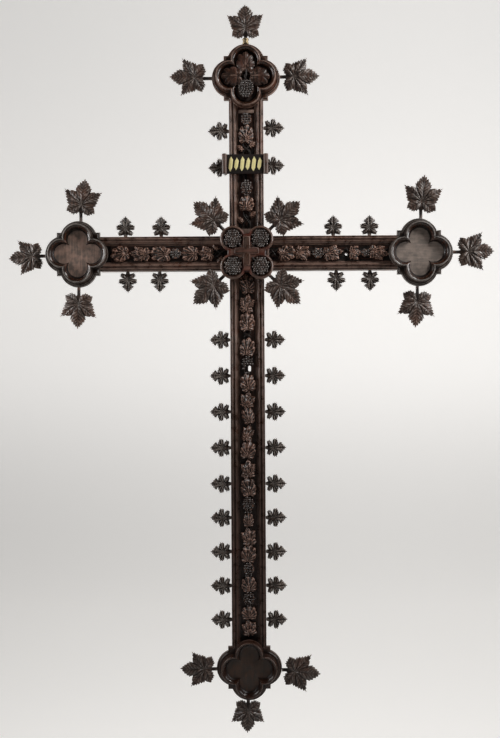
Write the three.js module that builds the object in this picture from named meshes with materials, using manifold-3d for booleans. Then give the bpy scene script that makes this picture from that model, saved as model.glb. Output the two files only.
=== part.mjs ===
import * as THREE from 'three';
import { mergeVertices } from 'three/addons/utils/BufferGeometryUtils.js';
import Module from 'manifold-3d';

const wasm = await Module();
wasm.setup();

// A carved wall cross of dark wood. Sizes are millimetres, +X is right and +Z is up. The wall is
// the plane Y = 0 and the front faces -Y, so a depth is counted outwards from the wall. The origin
// is on the wall, behind the middle of the crossing.
const GAP = 0.3; // play between separate pieces

// From the middle of the crossing to the middle of the quatrefoil at each end.
const REACH = { top: 457, right: 449.5, bottom: 1081, left: 439.5 };
// Each quatrefoil was cut by hand, a little larger or smaller than the next.
const END_SIZE = { top: 1.015, right: 1.01, bottom: 0.97, left: 0.99 };
const TRAY_SIZE = { ...END_SIZE, bottom: 0.94 };
// Clockwise turn of each arm from the upper one, seen from the front.
const ARM_TURN = { top: 0, right: Math.PI / 2, bottom: Math.PI, left: 1.5 * Math.PI };

// The beams: half of the moulded section, as [distance from the middle, depth].
const BEAM = { half: 45, face: 30, lap: 12 };
const BEAM_SECTION = [
  [45, 0], [45, 25], [42.5, 28.5], [38.5, 30], [35, 27], [31, 30], [25, 26], [23, 21], [21.5, 18],
];
const CHANNEL = { half: 21.5, floor: 18 };

// The quatrefoil ends: a thin board with four barbs, a smaller plain block that holds it off the
// wall, and a raised tray on its front.
const BOARD = { reach: 38.6, radius: 49, barb: 57, back: 18, face: 30, steps: 6 };
const BACKING = { inset: 12, steps: 3 };
const TRAY = { reach: 39, radius: 38, spread: 2.2, face: 52, steps: 5 };
const WELL_STEPS = 5;
const TRAY_WELL = [
  { reach: 36, radius: 27.5, depth: 36 },
  { reach: 38.2, radius: 30.2, depth: 46 },
  { reach: 39.2, radius: 31.6, depth: 53 },
];
const TRAY_CARVING = { root: 10, leaf: 51, knot: 24, grapes: 32 };

// The boss over the crossing.
const BOSS = { lobe: 35.6, radius: 33.3, neck: 50, back: 30.3, face: 50, chamfer: 2.5, steps: 6 };
const BOSS_DISH = { radius: 27.5, floor: 42, sides: 10 };
const BOSS_CROSS = { width: 17, rise: 37.5, span: 31, lift: 3, face: 53 };

// Leaves. Half an outline is [turn from the midrib in degrees, reach from the leaf's middle as a
// share of its length, lift]: tips and shoulders stand up (1) and notches lie low (-1).
const VINE_LEAF = {
  middle: 0.32,
  half: [
    [0, 0.68, 0], [14, 0.575, 1], [29, 0.51, 1], [36, 0.34, -1], [50, 0.47, 1], [57.5, 0.59, 0],
    [86, 0.45, 1], [112, 0.36, -1], [127, 0.435, 0], [152, 0.39, 1], [172, 0.31, -1],
  ],
};
const TRAIL_LEAF = {
  middle: 0.36,
  half: [
    [0, 0.64, 1], [36, 0.36, -1], [61, 0.55, 1], [108, 0.36, -1], [132, 0.46, 1], [172, 0.32, -1],
  ],
};
const CROCKET_LEAF = {
  middle: 0.39,
  half: [
    [0, 0.63, 0], [30, 0.42, 1], [35, 0.22, -1], [53, 0.42, 1], [78, 0.42, 1], [93, 0.22, -1],
    [134, 0.41, 1], [172, 0.385, -1],
  ],
};
// Grapes across each row of a bunch, and how far the bunch falls away towards its edge.
const BUNCH = { long: [2, 3, 2, 1], round: [2, 3, 2], fall: 12 };
const TOOTH_DIP = 0.075; // how far a nick goes in between two points of a toothed edge
const LARGE_LEAF = { thick: 5.5, crown: 7, relief: 1.8, depth: 24, stemHalf: 4.2 };
const CROCKET = { length: 56, thick: 5, crown: 5, relief: 1.4, depth: 14 };

// [stem, leaf length, lean from the stem in degrees, curl of the tip away from the wall, distance
// of the stem to the right of the lobe's middle, seen with the leaf pointing up]
const END_LEAVES = {
  top: { up: [3.5, 89, -1, -5, 0], left: [20, 90.5, 2.5, 4, 0], right: [13, 91, -2, -3, -3] },
  right: { up: [19.5, 95, 6.5, 3, 5], right: [16, 94, -1.5, -5, 0], down: [16, 93, 4, 3, 5] },
  bottom: {
    left: [10.5, 84.5, 2, 3, -3.5], right: [11, 91.5, 8, -3, 7], down: [4.5, 81, 1.5, 4, 3.5],
  },
  left: { up: [19.5, 92.5, 7, -4, 6.5], left: [11, 85, -5, 3, -4], down: [18.5, 90, 2.8, -4, 0] },
};
const SIDE_TURN = { up: 0, right: Math.PI / 2, down: Math.PI, left: 1.5 * Math.PI };
const CROSSING_LEAVES = {
  upper_right: [20, 89, 3, 4], lower_right: [19, 91, -2, -4],
  lower_left: [20, 90, 3, 3], upper_left: [21, 88, -2, -3],
};
const CROSSING_LEAF_DEPTH = 39;

// Crockets along the beams' edges, as distances from the middle of the crossing.
const UPPER_CROCKETS = { left: [321.5, 225.5], right: [329, 230.5] };
const ARM_CROCKETS = {
  left: { up: [318, 224.5], down: [312.5, 229] }, right: { up: [226.5, 321.5], down: [233.5, 322] },
};
const SHAFT_CROCKETS = { count: 9, first: 225.5, wide: 94.3, wideCount: 4, close: 89 };

// The vine trails, planted in the channels. Motifs lie end to end from the boss outwards, as
// [motif, length].
const TRAIL = { start: 51, bedHalf: 21, bed: 20.3, edge: 26, crown: 33, inset: 1.5 };
const TRAIL_RUNS = {
  top: { end: 375, tipsOut: true, motifs: [
    ['stop', 13], ['twigs', 47], ['leaf', 39], ['grapes', 42], ['plain', 66], ['twigs', 30],
    ['leaf', 47], ['grapes', 31], ['stop', 9],
  ] },
  right: { end: 374, tipsOut: true, motifs: [
    ['stop', 7], ['twigs', 24], ['leaf', 46], ['leaf', 43], ['grapes', 29], ['leaf', 52],
    ['plain', 17], ['leaf', 29], ['grapes', 21], ['leaf', 54],
  ] },
  bottom: { end: 997, tipsOut: false, motifs: [
    ['plain', 5], ['leaf', 49], ['leaf', 49], ['leaf', 49], ['twigs', 19], ['leaf', 46],
    ['grapes', 47], ['leaf', 45], ['leaf', 41], ['curl', 44], ['curl', 45], ['leaf', 46],
    ['leaf', 50], ['leaf', 49], ['grapes', 43], ['bud', 35], ['leaf', 48], ['leaf', 46],
    ['grapes', 37], ['leaf', 39], ['grapes', 38], ['leaf', 34], ['leaf', 41],
  ] },
  left: { end: 356, tipsOut: true, motifs: [
    ['twigs', 36], ['leaf', 42], ['leaf', 43], ['grapes', 28], ['leaf', 54], ['leaf', 55],
    ['leaf', 46],
  ] },
};

// Screw holes through the channels.
const SHAFT_HOLE = { x: 5, z: -301, width: 6.5, height: 14 };
const ARM_HOLE = { x: 260, z: -3, width: 6.5, height: 6.5 };

const TITLE = { x: -3, z: 231, width: 108, height: 50, back: 30.3, face: 36, roll: 6.2 };
const TITLE_STROKES = { count: 6, pitch: 15, width: 9.5, tall: 39, short: 33, slant: 1.2, lift: 1 };
const COLLAR = { radius: 8.5, height: 14, neck: 4.6, sides: 8 };

// Plain shapes

// A closed solid from a three.js geometry once its shared vertices are merged.
function solid(geometry) {
  const bare = geometry.clone();
  bare.deleteAttribute('normal');
  bare.deleteAttribute('uv');
  const merged = mergeVertices(bare, 1e-4);
  return new wasm.Manifold(new wasm.Mesh({
    numProp: 3,
    vertProperties: Float32Array.from(merged.getAttribute('position').array),
    triVerts: Uint32Array.from(merged.index.array),
  }));
}

function geometryOf(body) {
  const mesh = body.getMesh();
  const geometry = new THREE.BufferGeometry();
  geometry.setAttribute('position', new THREE.BufferAttribute(mesh.vertProperties, mesh.numProp));
  geometry.setIndex(new THREE.BufferAttribute(mesh.triVerts, 1));
  geometry.computeVertexNormals();
  return geometry;
}

// A block between two corners given as [x, depth, z].
function block([x0, d0, z0], [x1, d1, z1]) {
  const geometry = new THREE.BoxGeometry(x1 - x0, d1 - d0, z1 - z0);
  geometry.translate((x0 + x1) / 2, -(d0 + d1) / 2, (z0 + z1) / 2);
  return solid(geometry);
}

// A flat outline, drawn as x and z from the front, made solid between two depths.
function plate(outline, back, face) {
  const geometry = new THREE.ExtrudeGeometry(new THREE.Shape(outline), {
    depth: face - back, bevelEnabled: false, steps: 1,
  });
  geometry.rotateX(Math.PI / 2);
  geometry.translate(0, -back, 0);
  return solid(geometry);
}

// A solid through outlines of equal point count, each at its own depth, from the back forwards.
function loft(sections) {
  const count = sections[0].outline.length;
  const positions = sections.flatMap(
    ({ outline, depth }) => outline.flatMap((point) => [point.x, -depth, point.y]),
  );
  const index = [];
  for (let low = 0; low < (sections.length - 1) * count; low += count) {
    for (let i = 0; i < count; i++) {
      const next = (i + 1) % count;
      const high = low + count;
      index.push(low + i, low + next, high + next, low + i, high + next, high + i);
    }
  }
  const last = (sections.length - 1) * count;
  for (const [a, b, c] of THREE.ShapeUtils.triangulateShape(sections[0].outline, [])) {
    index.push(a, c, b);
  }
  for (const [a, b, c] of THREE.ShapeUtils.triangulateShape(sections.at(-1).outline, [])) {
    index.push(last + a, last + b, last + c);
  }
  const geometry = new THREE.BufferGeometry();
  geometry.setAttribute('position', new THREE.Float32BufferAttribute(positions, 3));
  geometry.setIndex(index);
  return solid(geometry);
}

// Outlines

const CENTRE = new THREE.Vector2(0, 0);

// Four round lobes about a centre. half is the half angle of each lobe's arc, and corner is where
// a square barb stands between two lobes.
function lobes({ reach, radius, steps, half, corner = 0, turn = 0 }) {
  const points = [];
  const shared = half === undefined; // neighbouring lobes meet in a cusp
  const meet = (reach + Math.sqrt(Math.max(0, 2 * radius ** 2 - reach ** 2))) / 2;
  const sweep = shared ? Math.atan2(meet, meet - reach) : half;
  for (let lobe = 0; lobe < 4; lobe++) {
    const quarter = turn + (lobe * Math.PI) / 2;
    for (let i = shared ? 1 : 0; i <= steps; i++) {
      const angle = sweep * ((2 * i) / steps - 1);
      const point = new THREE.Vector2(reach + radius * Math.cos(angle), radius * Math.sin(angle));
      points.push(point.rotateAround(CENTRE, quarter));
    }
    if (corner) points.push(new THREE.Vector2(corner, corner).rotateAround(CENTRE, quarter));
  }
  return points;
}

function barbedQuatrefoil(size) {
  const [reach, radius, corner] = [BOARD.reach, BOARD.radius, BOARD.barb].map((mm) => mm * size);
  const half = Math.acos((corner - reach) / radius);
  return lobes({ reach, radius, steps: BOARD.steps, half, corner });
}

function bossOutline(inset) {
  const radius = BOSS.radius - inset;
  const half = 0.75 * Math.PI - Math.asin((BOSS.neck - inset - BOSS.lobe) / radius);
  return lobes({
    reach: BOSS.lobe * Math.SQRT2, radius, steps: BOSS.steps, half, turn: Math.PI / 4,
  });
}

function ellipse(width, height, sides) {
  return Array.from({ length: sides }, (_, i) => {
    const angle = (2 * Math.PI * (i + 0.5)) / sides;
    return new THREE.Vector2((width / 2) * Math.cos(angle), (height / 2) * Math.sin(angle));
  });
}

// A leaf's outline from its foot at the origin, tip upwards and turned by lean. Toothed edges get
// a dip between neighbouring raised points, and open fills the notches in.
function leafOutline(form, length, { toothed = 0, open = 0, lean = 0 } = {}) {
  const stations = [];
  form.half.forEach(([turn, reach, lift], i) => {
    const before = form.half[i - 1];
    if (before && turn < toothed && before[2] >= 0 && lift >= 0) {
      stations.push([(before[0] + turn) / 2, (before[1] + reach - TOOTH_DIP) / 2, 0.5]);
    }
    const notch = lift < 0 && i + 1 < form.half.length;
    stations.push([turn, notch ? reach + open : reach, lift]);
  });
  const side = (sign, list) => list.map(([turn, reach, lift]) => {
    const angle = THREE.MathUtils.degToRad(turn);
    const across = sign * length * reach * Math.sin(angle);
    const up = length * (form.middle + reach * Math.cos(angle));
    const x = across * Math.cos(lean) + up * Math.sin(lean);
    return { x, z: up * Math.cos(lean) - across * Math.sin(lean), lift };
  });
  return [...side(-1, stations), ...side(1, stations.slice(1)).reverse()];
}

// Carved forms

// A leaf modelled as facets that fall from a crown, at the height middle, to its edge. front gives
// each edge point's depth, and back the depth behind a given depth.
function leafSolid(middle, outline, { crown, front, back }) {
  const rim = outline.map((point) => [point.x, -front(point), point.z]);
  const rear = outline.map((point) => [point.x, -back(front(point)), point.z]);
  const positions = [...rim, ...rear, [0, -crown, middle], [0, -back(crown), middle]].flat();
  const count = outline.length;
  const index = [];
  for (let i = 0; i < count; i++) {
    const next = (i + 1) % count;
    index.push(i, next, 2 * count);
    index.push(count + next, count + i, 2 * count + 1);
    index.push(i, count + i, count + next, i, count + next, next);
  }
  const geometry = new THREE.BufferGeometry();
  geometry.setAttribute('position', new THREE.Float32BufferAttribute(positions, 3));
  geometry.setIndex(index);
  return solid(geometry);
}

// A leaf on a stem, standing on the origin.
function largeLeaf([stem, length, lean, curl]) {
  const { thick, crown, relief, stemHalf } = LARGE_LEAF;
  const blade = leafOutline(VINE_LEAF, length, { toothed: 60, lean: THREE.MathUtils.degToRad(lean) });
  const half = Math.ceil(blade.length / 2);
  const outline = [
    ...blade.slice(0, half), { x: -stemHalf, z: -stem, lift: 0 }, { x: stemHalf, z: -stem, lift: 0 },
    ...blade.slice(half),
  ];
  const front = ({ z, lift }) => relief * lift + thick / 2 + curl * (Math.max(z, 0) / length) ** 2;
  const back = (depth) => depth - thick;
  return geometryOf(
    leafSolid(VINE_LEAF.middle * length, outline, { crown, front, back }).translate([0, 0, stem]),
  );
}

function crocket(open) {
  const { length, thick, crown, relief } = CROCKET;
  const outline = leafOutline(CROCKET_LEAF, length, { open });
  const front = ({ lift }) => relief * lift + thick / 2;
  const back = (depth) => depth - thick;
  return geometryOf(leafSolid(CROCKET_LEAF.middle * length, outline, { crown, front, back }));
}

// A bunch of grapes about the origin, hanging down: six-sided cells side by side, each drawn up to
// a point. rows counts the grapes across, and the bunch is lower towards its edge.
function bunch(rows, width, length, { back, edge, face }) {
  const pitch = width / Math.max(...rows);
  const rowStep = (pitch * Math.sqrt(3)) / 2;
  const squash = length / ((rows.length - 1) * rowStep + (2 * pitch) / Math.sqrt(3));
  const cells = rows.flatMap((count, row) => Array.from({ length: count }, (_, i) => (
    new THREE.Vector2((i - (count - 1) / 2) * pitch, ((rows.length - 1) / 2 - row) * rowStep)
  )));
  const around = (cell, reach, turn) => new THREE.Vector2(reach, 0)
    .rotateAround(CENTRE, THREE.MathUtils.degToRad(turn)).add(cell);
  const corners = [];
  const facet = (...points) => points.forEach(([p, depth]) => corners.push(p.x, -depth, p.y * squash));
  for (const cell of cells) {
    const top = face - BUNCH.fall * (cell.length() / width) ** 2;
    for (let turn = 0; turn < 360; turn += 60) {
      const a = around(cell, pitch / Math.sqrt(3), turn - 30);
      const b = around(cell, pitch / Math.sqrt(3), turn + 30);
      facet([cell, top], [a, edge], [b, edge]);
      facet([cell, back], [b, back], [a, back]);
      const beside = around(cell, pitch, turn);
      if (!cells.some((other) => other.distanceTo(beside) < pitch / 2)) {
        facet([a, back], [b, back], [b, edge]);
        facet([a, back], [b, edge], [a, edge]);
      }
    }
  }
  const geometry = new THREE.BufferGeometry();
  geometry.setAttribute('position', new THREE.Float32BufferAttribute(corners, 3));
  return solid(geometry);
}

function trailLeaf(length, width) {
  const outline = leafOutline(TRAIL_LEAF, length);
  const reach = Math.max(...outline.map((point) => point.x));
  const fitted = outline.map((point) => ({ ...point, x: (point.x * width) / 2 / reach }));
  const front = ({ lift }) => TRAIL.edge + 1.6 * lift;
  const back = () => TRAIL.bed - 1;
  return leafSolid(TRAIL_LEAF.middle * length, fitted, { crown: TRAIL.crown, front, back })
    .translate([0, 0, -length / 2]);
}

// Two crossing twigs that fill a length of the channel.
function twigs(length) {
  const half = CHANNEL.half - 5;
  const thick = 4;
  const turn = THREE.MathUtils.radToDeg(Math.atan2(half * 1.6, length));
  const twig = block([-thick / 2, TRAIL.bed - 1, -length / 2], [thick / 2, TRAIL.edge, length / 2]);
  return twig.rotate([0, turn, 0]).add(twig.rotate([0, -turn, 0]));
}

const MOTIFS = {
  leaf: (length) => trailLeaf(length, 39),
  curl: (length) => trailLeaf(length, 31).rotate([0, 14, 0]),
  bud: (length) => trailLeaf(length, 27),
  grapes: (length) => bunch(BUNCH.long, 37, length, {
    back: TRAIL.bed - 1, edge: TRAIL.edge, face: TRAIL.crown,
  }),
  stop: (length) => block(
    [1 - CHANNEL.half, TRAIL.bed - 1, -length / 2], [CHANNEL.half - 1, TRAIL.edge, length / 2],
  ),
  twigs,
};

// A trail along +Z, from the boss outwards.
function vineTrail({ end, motifs, tipsOut }) {
  const { start, bedHalf, bed, inset } = TRAIL;
  let body = block([-bedHalf, CHANNEL.floor + GAP, start], [bedHalf, bed, end]);
  let place = start;
  for (const [kind, length] of motifs) {
    if (kind !== 'plain') {
      const motif = MOTIFS[kind](length - inset).rotate([0, tipsOut ? 0 : 180, 0]);
      body = body.add(motif.translate([0, 0, place + length / 2]));
    }
    place += length;
  }
  return body;
}

// Built pieces

// A moulded beam along +Z between two heights.
function beam(from, to) {
  const right = BEAM_SECTION.map(([x, depth]) => new THREE.Vector2(x, -depth));
  const left = BEAM_SECTION.map(([x, depth]) => new THREE.Vector2(-x, -depth)).reverse();
  const geometry = new THREE.ExtrudeGeometry(new THREE.Shape([...right, ...left]), {
    depth: to - from, bevelEnabled: false, steps: 1,
  });
  geometry.translate(0, 0, from);
  return solid(geometry);
}

// A round-ended hole right through from front to back.
function screwHole({ x, z, width, height }) {
  const steps = 4;
  const radius = width / 2;
  const outline = [];
  for (const [side, centre] of [[0, height / 2 - radius], [Math.PI, radius - height / 2]]) {
    for (let i = 0; i <= steps; i++) {
      const point = new THREE.Vector2(radius, 0).rotateAround(CENTRE, side + (Math.PI * i) / steps);
      outline.push(point.add(new THREE.Vector2(x, z + centre)));
    }
  }
  return plate(outline, -1, TRAIL.crown + 5);
}

const beamEnd = (side) => REACH[side] - BOARD.barb * END_SIZE[side] - GAP;
const seat = BEAM.half + GAP;

function upright() {
  const lap = block([-seat, -1, -seat], [seat, BEAM.lap + GAP, seat]);
  return beam(-beamEnd('bottom'), beamEnd('top')).subtract(lap).subtract(screwHole(SHAFT_HOLE));
}

function crossbar() {
  const lap = block([-seat, BEAM.lap, -seat], [seat, BEAM.face + 1, seat]);
  return beam(-beamEnd('right'), beamEnd('left')).rotate([0, -90, 0])
    .subtract(lap).subtract(screwHole(ARM_HOLE));
}

// A quatrefoil end with its beam coming in from below, in its own place about the origin.
function quatrefoilEnd(size, traySize) {
  const board = plate(barbedQuatrefoil(size), BOARD.back, BOARD.face);
  const backing = plate(lobes({
    reach: BOARD.reach * size, radius: BOARD.radius * size - BACKING.inset, steps: BACKING.steps,
  }), 0, BOARD.back + 1);
  const reach = TRAY.reach * traySize;
  const rim = TRAY.radius * traySize;
  const tray = loft([
    { outline: lobes({ reach, radius: rim + TRAY.spread, steps: TRAY.steps }), depth: BOARD.face - 1 },
    { outline: lobes({ reach, radius: rim, steps: TRAY.steps }), depth: TRAY.face },
  ]);
  const well = loft(TRAY_WELL.map((level) => ({
    outline: lobes({
      reach: level.reach * traySize, radius: level.radius * traySize, steps: WELL_STEPS,
    }),
    depth: level.depth,
  })));
  const joint = -BOARD.barb * size;
  const beamSeat = block([-100, -1, -150], [100, BEAM.face + GAP, joint]);
  return board.add(backing).add(tray).subtract(well).subtract(beamSeat);
}

// Three leaves and a bunch of grapes about a knot, laid in the top tray.
function trayCarving() {
  const { root, leaf: length, knot, grapes: drop } = TRAY_CARVING;
  const floor = TRAY_WELL[0].depth + GAP;
  let body = plate(ellipse(knot, knot, 8), floor, floor + 8);
  const outline = leafOutline(TRAIL_LEAF, length);
  for (const turn of [-90, 0, 90]) {
    const leaf = leafSolid(TRAIL_LEAF.middle * length, outline, {
      crown: floor + 15, front: ({ lift }) => floor + 7 + 1.6 * lift, back: () => floor,
    });
    body = body.add(leaf.translate([0, 0, root]).rotate([0, turn, 0]));
  }
  const grapes = bunch(BUNCH.long, 42, 48, { back: floor, edge: floor + 7, face: floor + 15 });
  return body.add(grapes.translate([0, 0, -drop]));
}

function boss() {
  const { lobe, back, face, chamfer } = BOSS;
  const { width, rise, span, lift } = BOSS_CROSS;
  let body = loft([
    { outline: bossOutline(0), depth: back },
    { outline: bossOutline(0), depth: face - chamfer },
    { outline: bossOutline(chamfer), depth: face },
  ]);
  const dish = ellipse(2 * BOSS_DISH.radius, 2 * BOSS_DISH.radius, BOSS_DISH.sides);
  for (const [x, z] of [[lobe, lobe], [-lobe, lobe], [-lobe, -lobe], [lobe, -lobe]]) {
    body = body.subtract(plate(dish, BOSS_DISH.floor, face + 1).translate([x, 0, z]));
    const hang = z > 0 ? 0 : 180;
    const depths = { back: BOSS_DISH.floor - 1, edge: face - 4, face: face + 4 };
    const grapes = bunch(BUNCH.round, 40, 38, depths).rotate([0, hang, 0]);
    body = body.add(grapes.translate([x, 0, z]));
  }
  const bars = block([-width / 2, face - 1, lift - rise], [width / 2, BOSS_CROSS.face, lift + rise])
    .add(block([-span, face - 1, lift - width / 2], [span, BOSS_CROSS.face, lift + width / 2]));
  return body.add(bars);
}

// A title board with rolled ends, and a row of pointed strokes where its lettering was.
function titleScroll() {
  const { width, height, back, face, roll } = TITLE;
  let body = block([-width / 2, back, -height / 2], [width / 2, face, height / 2]);
  for (const side of [-1, 1]) {
    const cylinder = new THREE.CylinderGeometry(roll, roll, height + 2, 8);
    cylinder.rotateX(Math.PI / 2);
    cylinder.translate((side * width) / 2, -(back + roll), 0);
    body = body.add(solid(cylinder));
  }
  for (let i = 0; i < TITLE_STROKES.count; i++) {
    const { count, pitch, width: across, tall, short, slant, lift } = TITLE_STROKES;
    const rise = (i % 2 ? short : tall) / 2;
    const x = (i - (count - 1) / 2) * pitch;
    const stroke = [
      [slant, rise], [slant - across / 2, rise - across], [-slant - across / 2, across - rise],
      [-slant, -rise], [across / 2 - slant, across - rise], [slant + across / 2, rise - across],
    ].map(([dx, z]) => new THREE.Vector2(x + dx, z));
    body = body.add(plate(stroke, face - 1, face + lift));
  }
  return body;
}

function collar() {
  const { radius, height, neck, sides } = COLLAR;
  const profile = [
    [0, 0], [radius, 0], [radius, height * 0.65], [neck, height * 0.8], [neck, height], [0, height],
  ].map(([r, z]) => new THREE.Vector2(r, z));
  const geometry = new THREE.LatheGeometry(profile, sides);
  geometry.rotateX(Math.PI / 2);
  return geometry;
}

// The cross

const cross = new THREE.Group();

const FINISHES = {
  darkOak: { color: 0x2b1d16, roughness: 0.48, metalness: 0 },
  carvedOak: { color: 0x33231b, roughness: 0.45, metalness: 0 },
  leafOak: { color: 0x382b24, roughness: 0.5, metalness: 0 },
  brass: { color: 0xa98a4a, roughness: 0.35, metalness: 1 },
};

function add(name, geometry, finish, { x = 0, depth = 0, z = 0, turn = 0 } = {}) {
  const mesh = new THREE.Mesh(geometry, new THREE.MeshStandardMaterial(FINISHES[finish]));
  mesh.name = name;
  mesh.position.set(x, -depth, z);
  mesh.rotation.y = turn;
  cross.add(mesh);
}

// A point given as a distance along an arm and a distance to the arm's right.
function along(turn, distance, aside = 0) {
  return {
    x: distance * Math.sin(turn) + aside * Math.cos(turn),
    z: distance * Math.cos(turn) - aside * Math.sin(turn),
  };
}

add('upright', geometryOf(upright()), 'darkOak');
add('crossbar', geometryOf(crossbar()), 'darkOak');

for (const side of Object.keys(REACH)) {
  const turn = ARM_TURN[side];
  const end = quatrefoilEnd(END_SIZE[side], TRAY_SIZE[side]);
  add(`quatrefoil_${side}`, geometryOf(end), 'darkOak', {
    ...along(turn, REACH[side]), turn,
  });
}
add('quatrefoil_top_carving', geometryOf(trayCarving()), 'carvedOak', { z: REACH.top });
add('crossing_boss', geometryOf(boss()), 'carvedOak');

for (const [side, run] of Object.entries(TRAIL_RUNS)) {
  const turn = ARM_TURN[side];
  let body = vineTrail(run).rotate([0, THREE.MathUtils.radToDeg(turn), 0]);
  if (side === 'bottom') body = body.subtract(screwHole(SHAFT_HOLE));
  if (side === 'right') body = body.subtract(screwHole(ARM_HOLE));
  add(`vine_trail_${side}`, geometryOf(body), 'carvedOak');
}

add('title_scroll', geometryOf(titleScroll()), 'carvedOak', { x: TITLE.x, z: TITLE.z });

for (const [end, leaves] of Object.entries(END_LEAVES)) {
  const middle = along(ARM_TURN[end], REACH[end]);
  for (const [side, leaf] of Object.entries(leaves)) {
    const turn = SIDE_TURN[side];
    const aside = leaf.at(-1);
    const nearest = Math.max(0, Math.abs(aside) - LARGE_LEAF.stemHalf);
    const [reach, radius] = [BOARD.reach * END_SIZE[end], BOARD.radius * END_SIZE[end]];
    const crown = reach + Math.sqrt(radius ** 2 - nearest ** 2) + GAP;
    const collared = end === 'top' && side === 'up';
    const root = along(turn, crown + (collared ? COLLAR.height + GAP : 0), aside);
    add(`leaf_${end}_${side}`, largeLeaf(leaf), 'leafOak', {
      x: middle.x + root.x, z: middle.z + root.z, depth: LARGE_LEAF.depth, turn,
    });
    if (collared) {
      const foot = along(turn, crown);
      add('brass_collar', collar(), 'brass', { z: middle.z + foot.z, depth: LARGE_LEAF.depth });
    }
  }
}

Object.entries(CROSSING_LEAVES).forEach(([name, leaf], i) => {
  const turn = Math.PI * (0.25 + 0.5 * i);
  const root = along(turn, BOSS.lobe * Math.SQRT2 + BOSS.radius + GAP);
  add(`leaf_crossing_${name}`, largeLeaf(leaf), 'leafOak', {
    ...root, depth: CROSSING_LEAF_DEPTH, turn,
  });
});

// Crockets down the shaft are cut less deeply towards the foot.
const edge = BEAM.half + GAP;
const shaftPlace = (i) => {
  const { first, wide, wideCount, close } = SHAFT_CROCKETS;
  return first + Math.min(i, wideCount) * wide + Math.max(0, i - wideCount) * close;
};
for (const [side, sign] of [['left', -1], ['right', 1]]) {
  const turn = (sign * Math.PI) / 2;
  UPPER_CROCKETS[side].forEach((z, i) => {
    add(`crocket_upper_${side}_${i + 1}`, crocket(0), 'leafOak', {
      x: sign * edge, z, depth: CROCKET.depth, turn,
    });
  });
  for (let i = 0; i < SHAFT_CROCKETS.count; i++) {
    const open = i < SHAFT_CROCKETS.wideCount ? 0 : 0.08;
    add(`crocket_shaft_${side}_${i + 1}`, crocket(open), 'leafOak', {
      x: sign * edge, z: -shaftPlace(i), depth: CROCKET.depth, turn,
    });
  }
  for (const [way, up] of [['up', 1], ['down', -1]]) {
    ARM_CROCKETS[side][way].forEach((distance, i) => {
      add(`crocket_${side}_arm_${way}_${i + 1}`, crocket(0), 'leafOak', {
        x: sign * distance, z: up * edge, depth: CROCKET.depth, turn: up > 0 ? 0 : Math.PI,
      });
    });
  }
}

export default cross;
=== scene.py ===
"""A carved wall cross of dark oak: the looks of its beams, quatrefoil ends, boss, vine trails, title
board, leaves and crockets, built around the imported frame. Lengths are metres, +X is right, +Z is up,
the wall is Y = 0 and the front faces -Y, so a depth is counted outwards from the wall."""

import math
from typing import NamedTuple

import bmesh
import bpy
import numpy as np
from bpy.props import FloatProperty, FloatVectorProperty, IntProperty, PointerProperty
from mathutils import Matrix, Vector, noise


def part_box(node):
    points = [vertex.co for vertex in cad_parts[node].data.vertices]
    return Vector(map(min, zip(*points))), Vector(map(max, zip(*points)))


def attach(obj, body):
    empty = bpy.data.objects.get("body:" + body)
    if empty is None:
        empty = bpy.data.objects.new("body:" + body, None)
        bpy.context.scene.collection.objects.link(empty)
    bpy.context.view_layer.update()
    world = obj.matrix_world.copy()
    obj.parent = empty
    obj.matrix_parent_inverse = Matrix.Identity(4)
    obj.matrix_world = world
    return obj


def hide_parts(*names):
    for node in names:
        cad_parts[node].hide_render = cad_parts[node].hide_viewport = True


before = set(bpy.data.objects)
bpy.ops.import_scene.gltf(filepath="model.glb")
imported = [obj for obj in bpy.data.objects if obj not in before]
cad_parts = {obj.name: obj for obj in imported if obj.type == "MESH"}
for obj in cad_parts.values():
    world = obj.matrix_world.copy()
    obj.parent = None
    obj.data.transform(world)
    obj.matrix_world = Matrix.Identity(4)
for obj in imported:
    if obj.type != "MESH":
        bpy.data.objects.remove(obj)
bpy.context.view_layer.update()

bl_info = {
    "name": "Carved wall cross",
    "version": (1, 0, 0),
    "blender": (4, 5, 0),
    "location": "3D View > Sidebar > Wall cross",
    "description": "Builds a carved oak wall cross around its packed frame",
    "category": "Object",
}

MM = 0.001
GAP = 0.3 * MM  # play between separate pieces

# Clockwise turn of each arm from the upper one, seen from the front, its reach from the middle of
# the crossing to the middle of its quatrefoil, and that quatrefoil's own size.
ARMS = {
    "top": (0, 457 * MM, 1.015),
    "right": (90, 449.5 * MM, 1.01),
    "bottom": (180, 1081 * MM, 0.97),
    "left": (270, 439.5 * MM, 0.99),
}
TRAY_SIZE = {"top": 1.015, "right": 1.01, "bottom": 0.94, "left": 0.99}
SIDE_TURN = {"up": 0, "right": 90, "down": 180, "left": 270}

# Leaves as (stem in mm, leaf length in mm, lean from the stem in degrees, curl of the tip in mm,
# how far the stem stands to the right of its lobe's middle in mm, with the leaf pointing up).
END_LEAVES = {
    "top": {"up": (3.5, 89, -1, -5, 0), "left": (20, 90.5, 2.5, 4, 0), "right": (13, 91, -2, -3, -3)},
    "right": {
        "up": (19.5, 95, 6.5, 3, 5), "right": (16, 94, -1.5, -5, 0), "down": (16, 93, 4, 3, 5),
    },
    "bottom": {
        "left": (10.5, 84.5, 2, 3, -3.5), "right": (11, 91.5, 8, -3, 7), "down": (4.5, 81, 1.5, 4, 3.5),
    },
    "left": {
        "up": (19.5, 92.5, 7, -4, 6.5), "left": (11, 85, -5, 3, -4), "down": (18.5, 90, 2.8, -4, 0),
    },
}
CROSSING_LEAVES = {
    "upper_right": (45, (12.5, 96.5, 3, 4, 0)),
    "lower_right": (135, (12, 98, -2, -4, 0)),
    "lower_left": (225, (12.5, 97.5, 3, 3, 0)),
    "upper_left": (315, (13, 96, -2, -3, 0)),
}

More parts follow.
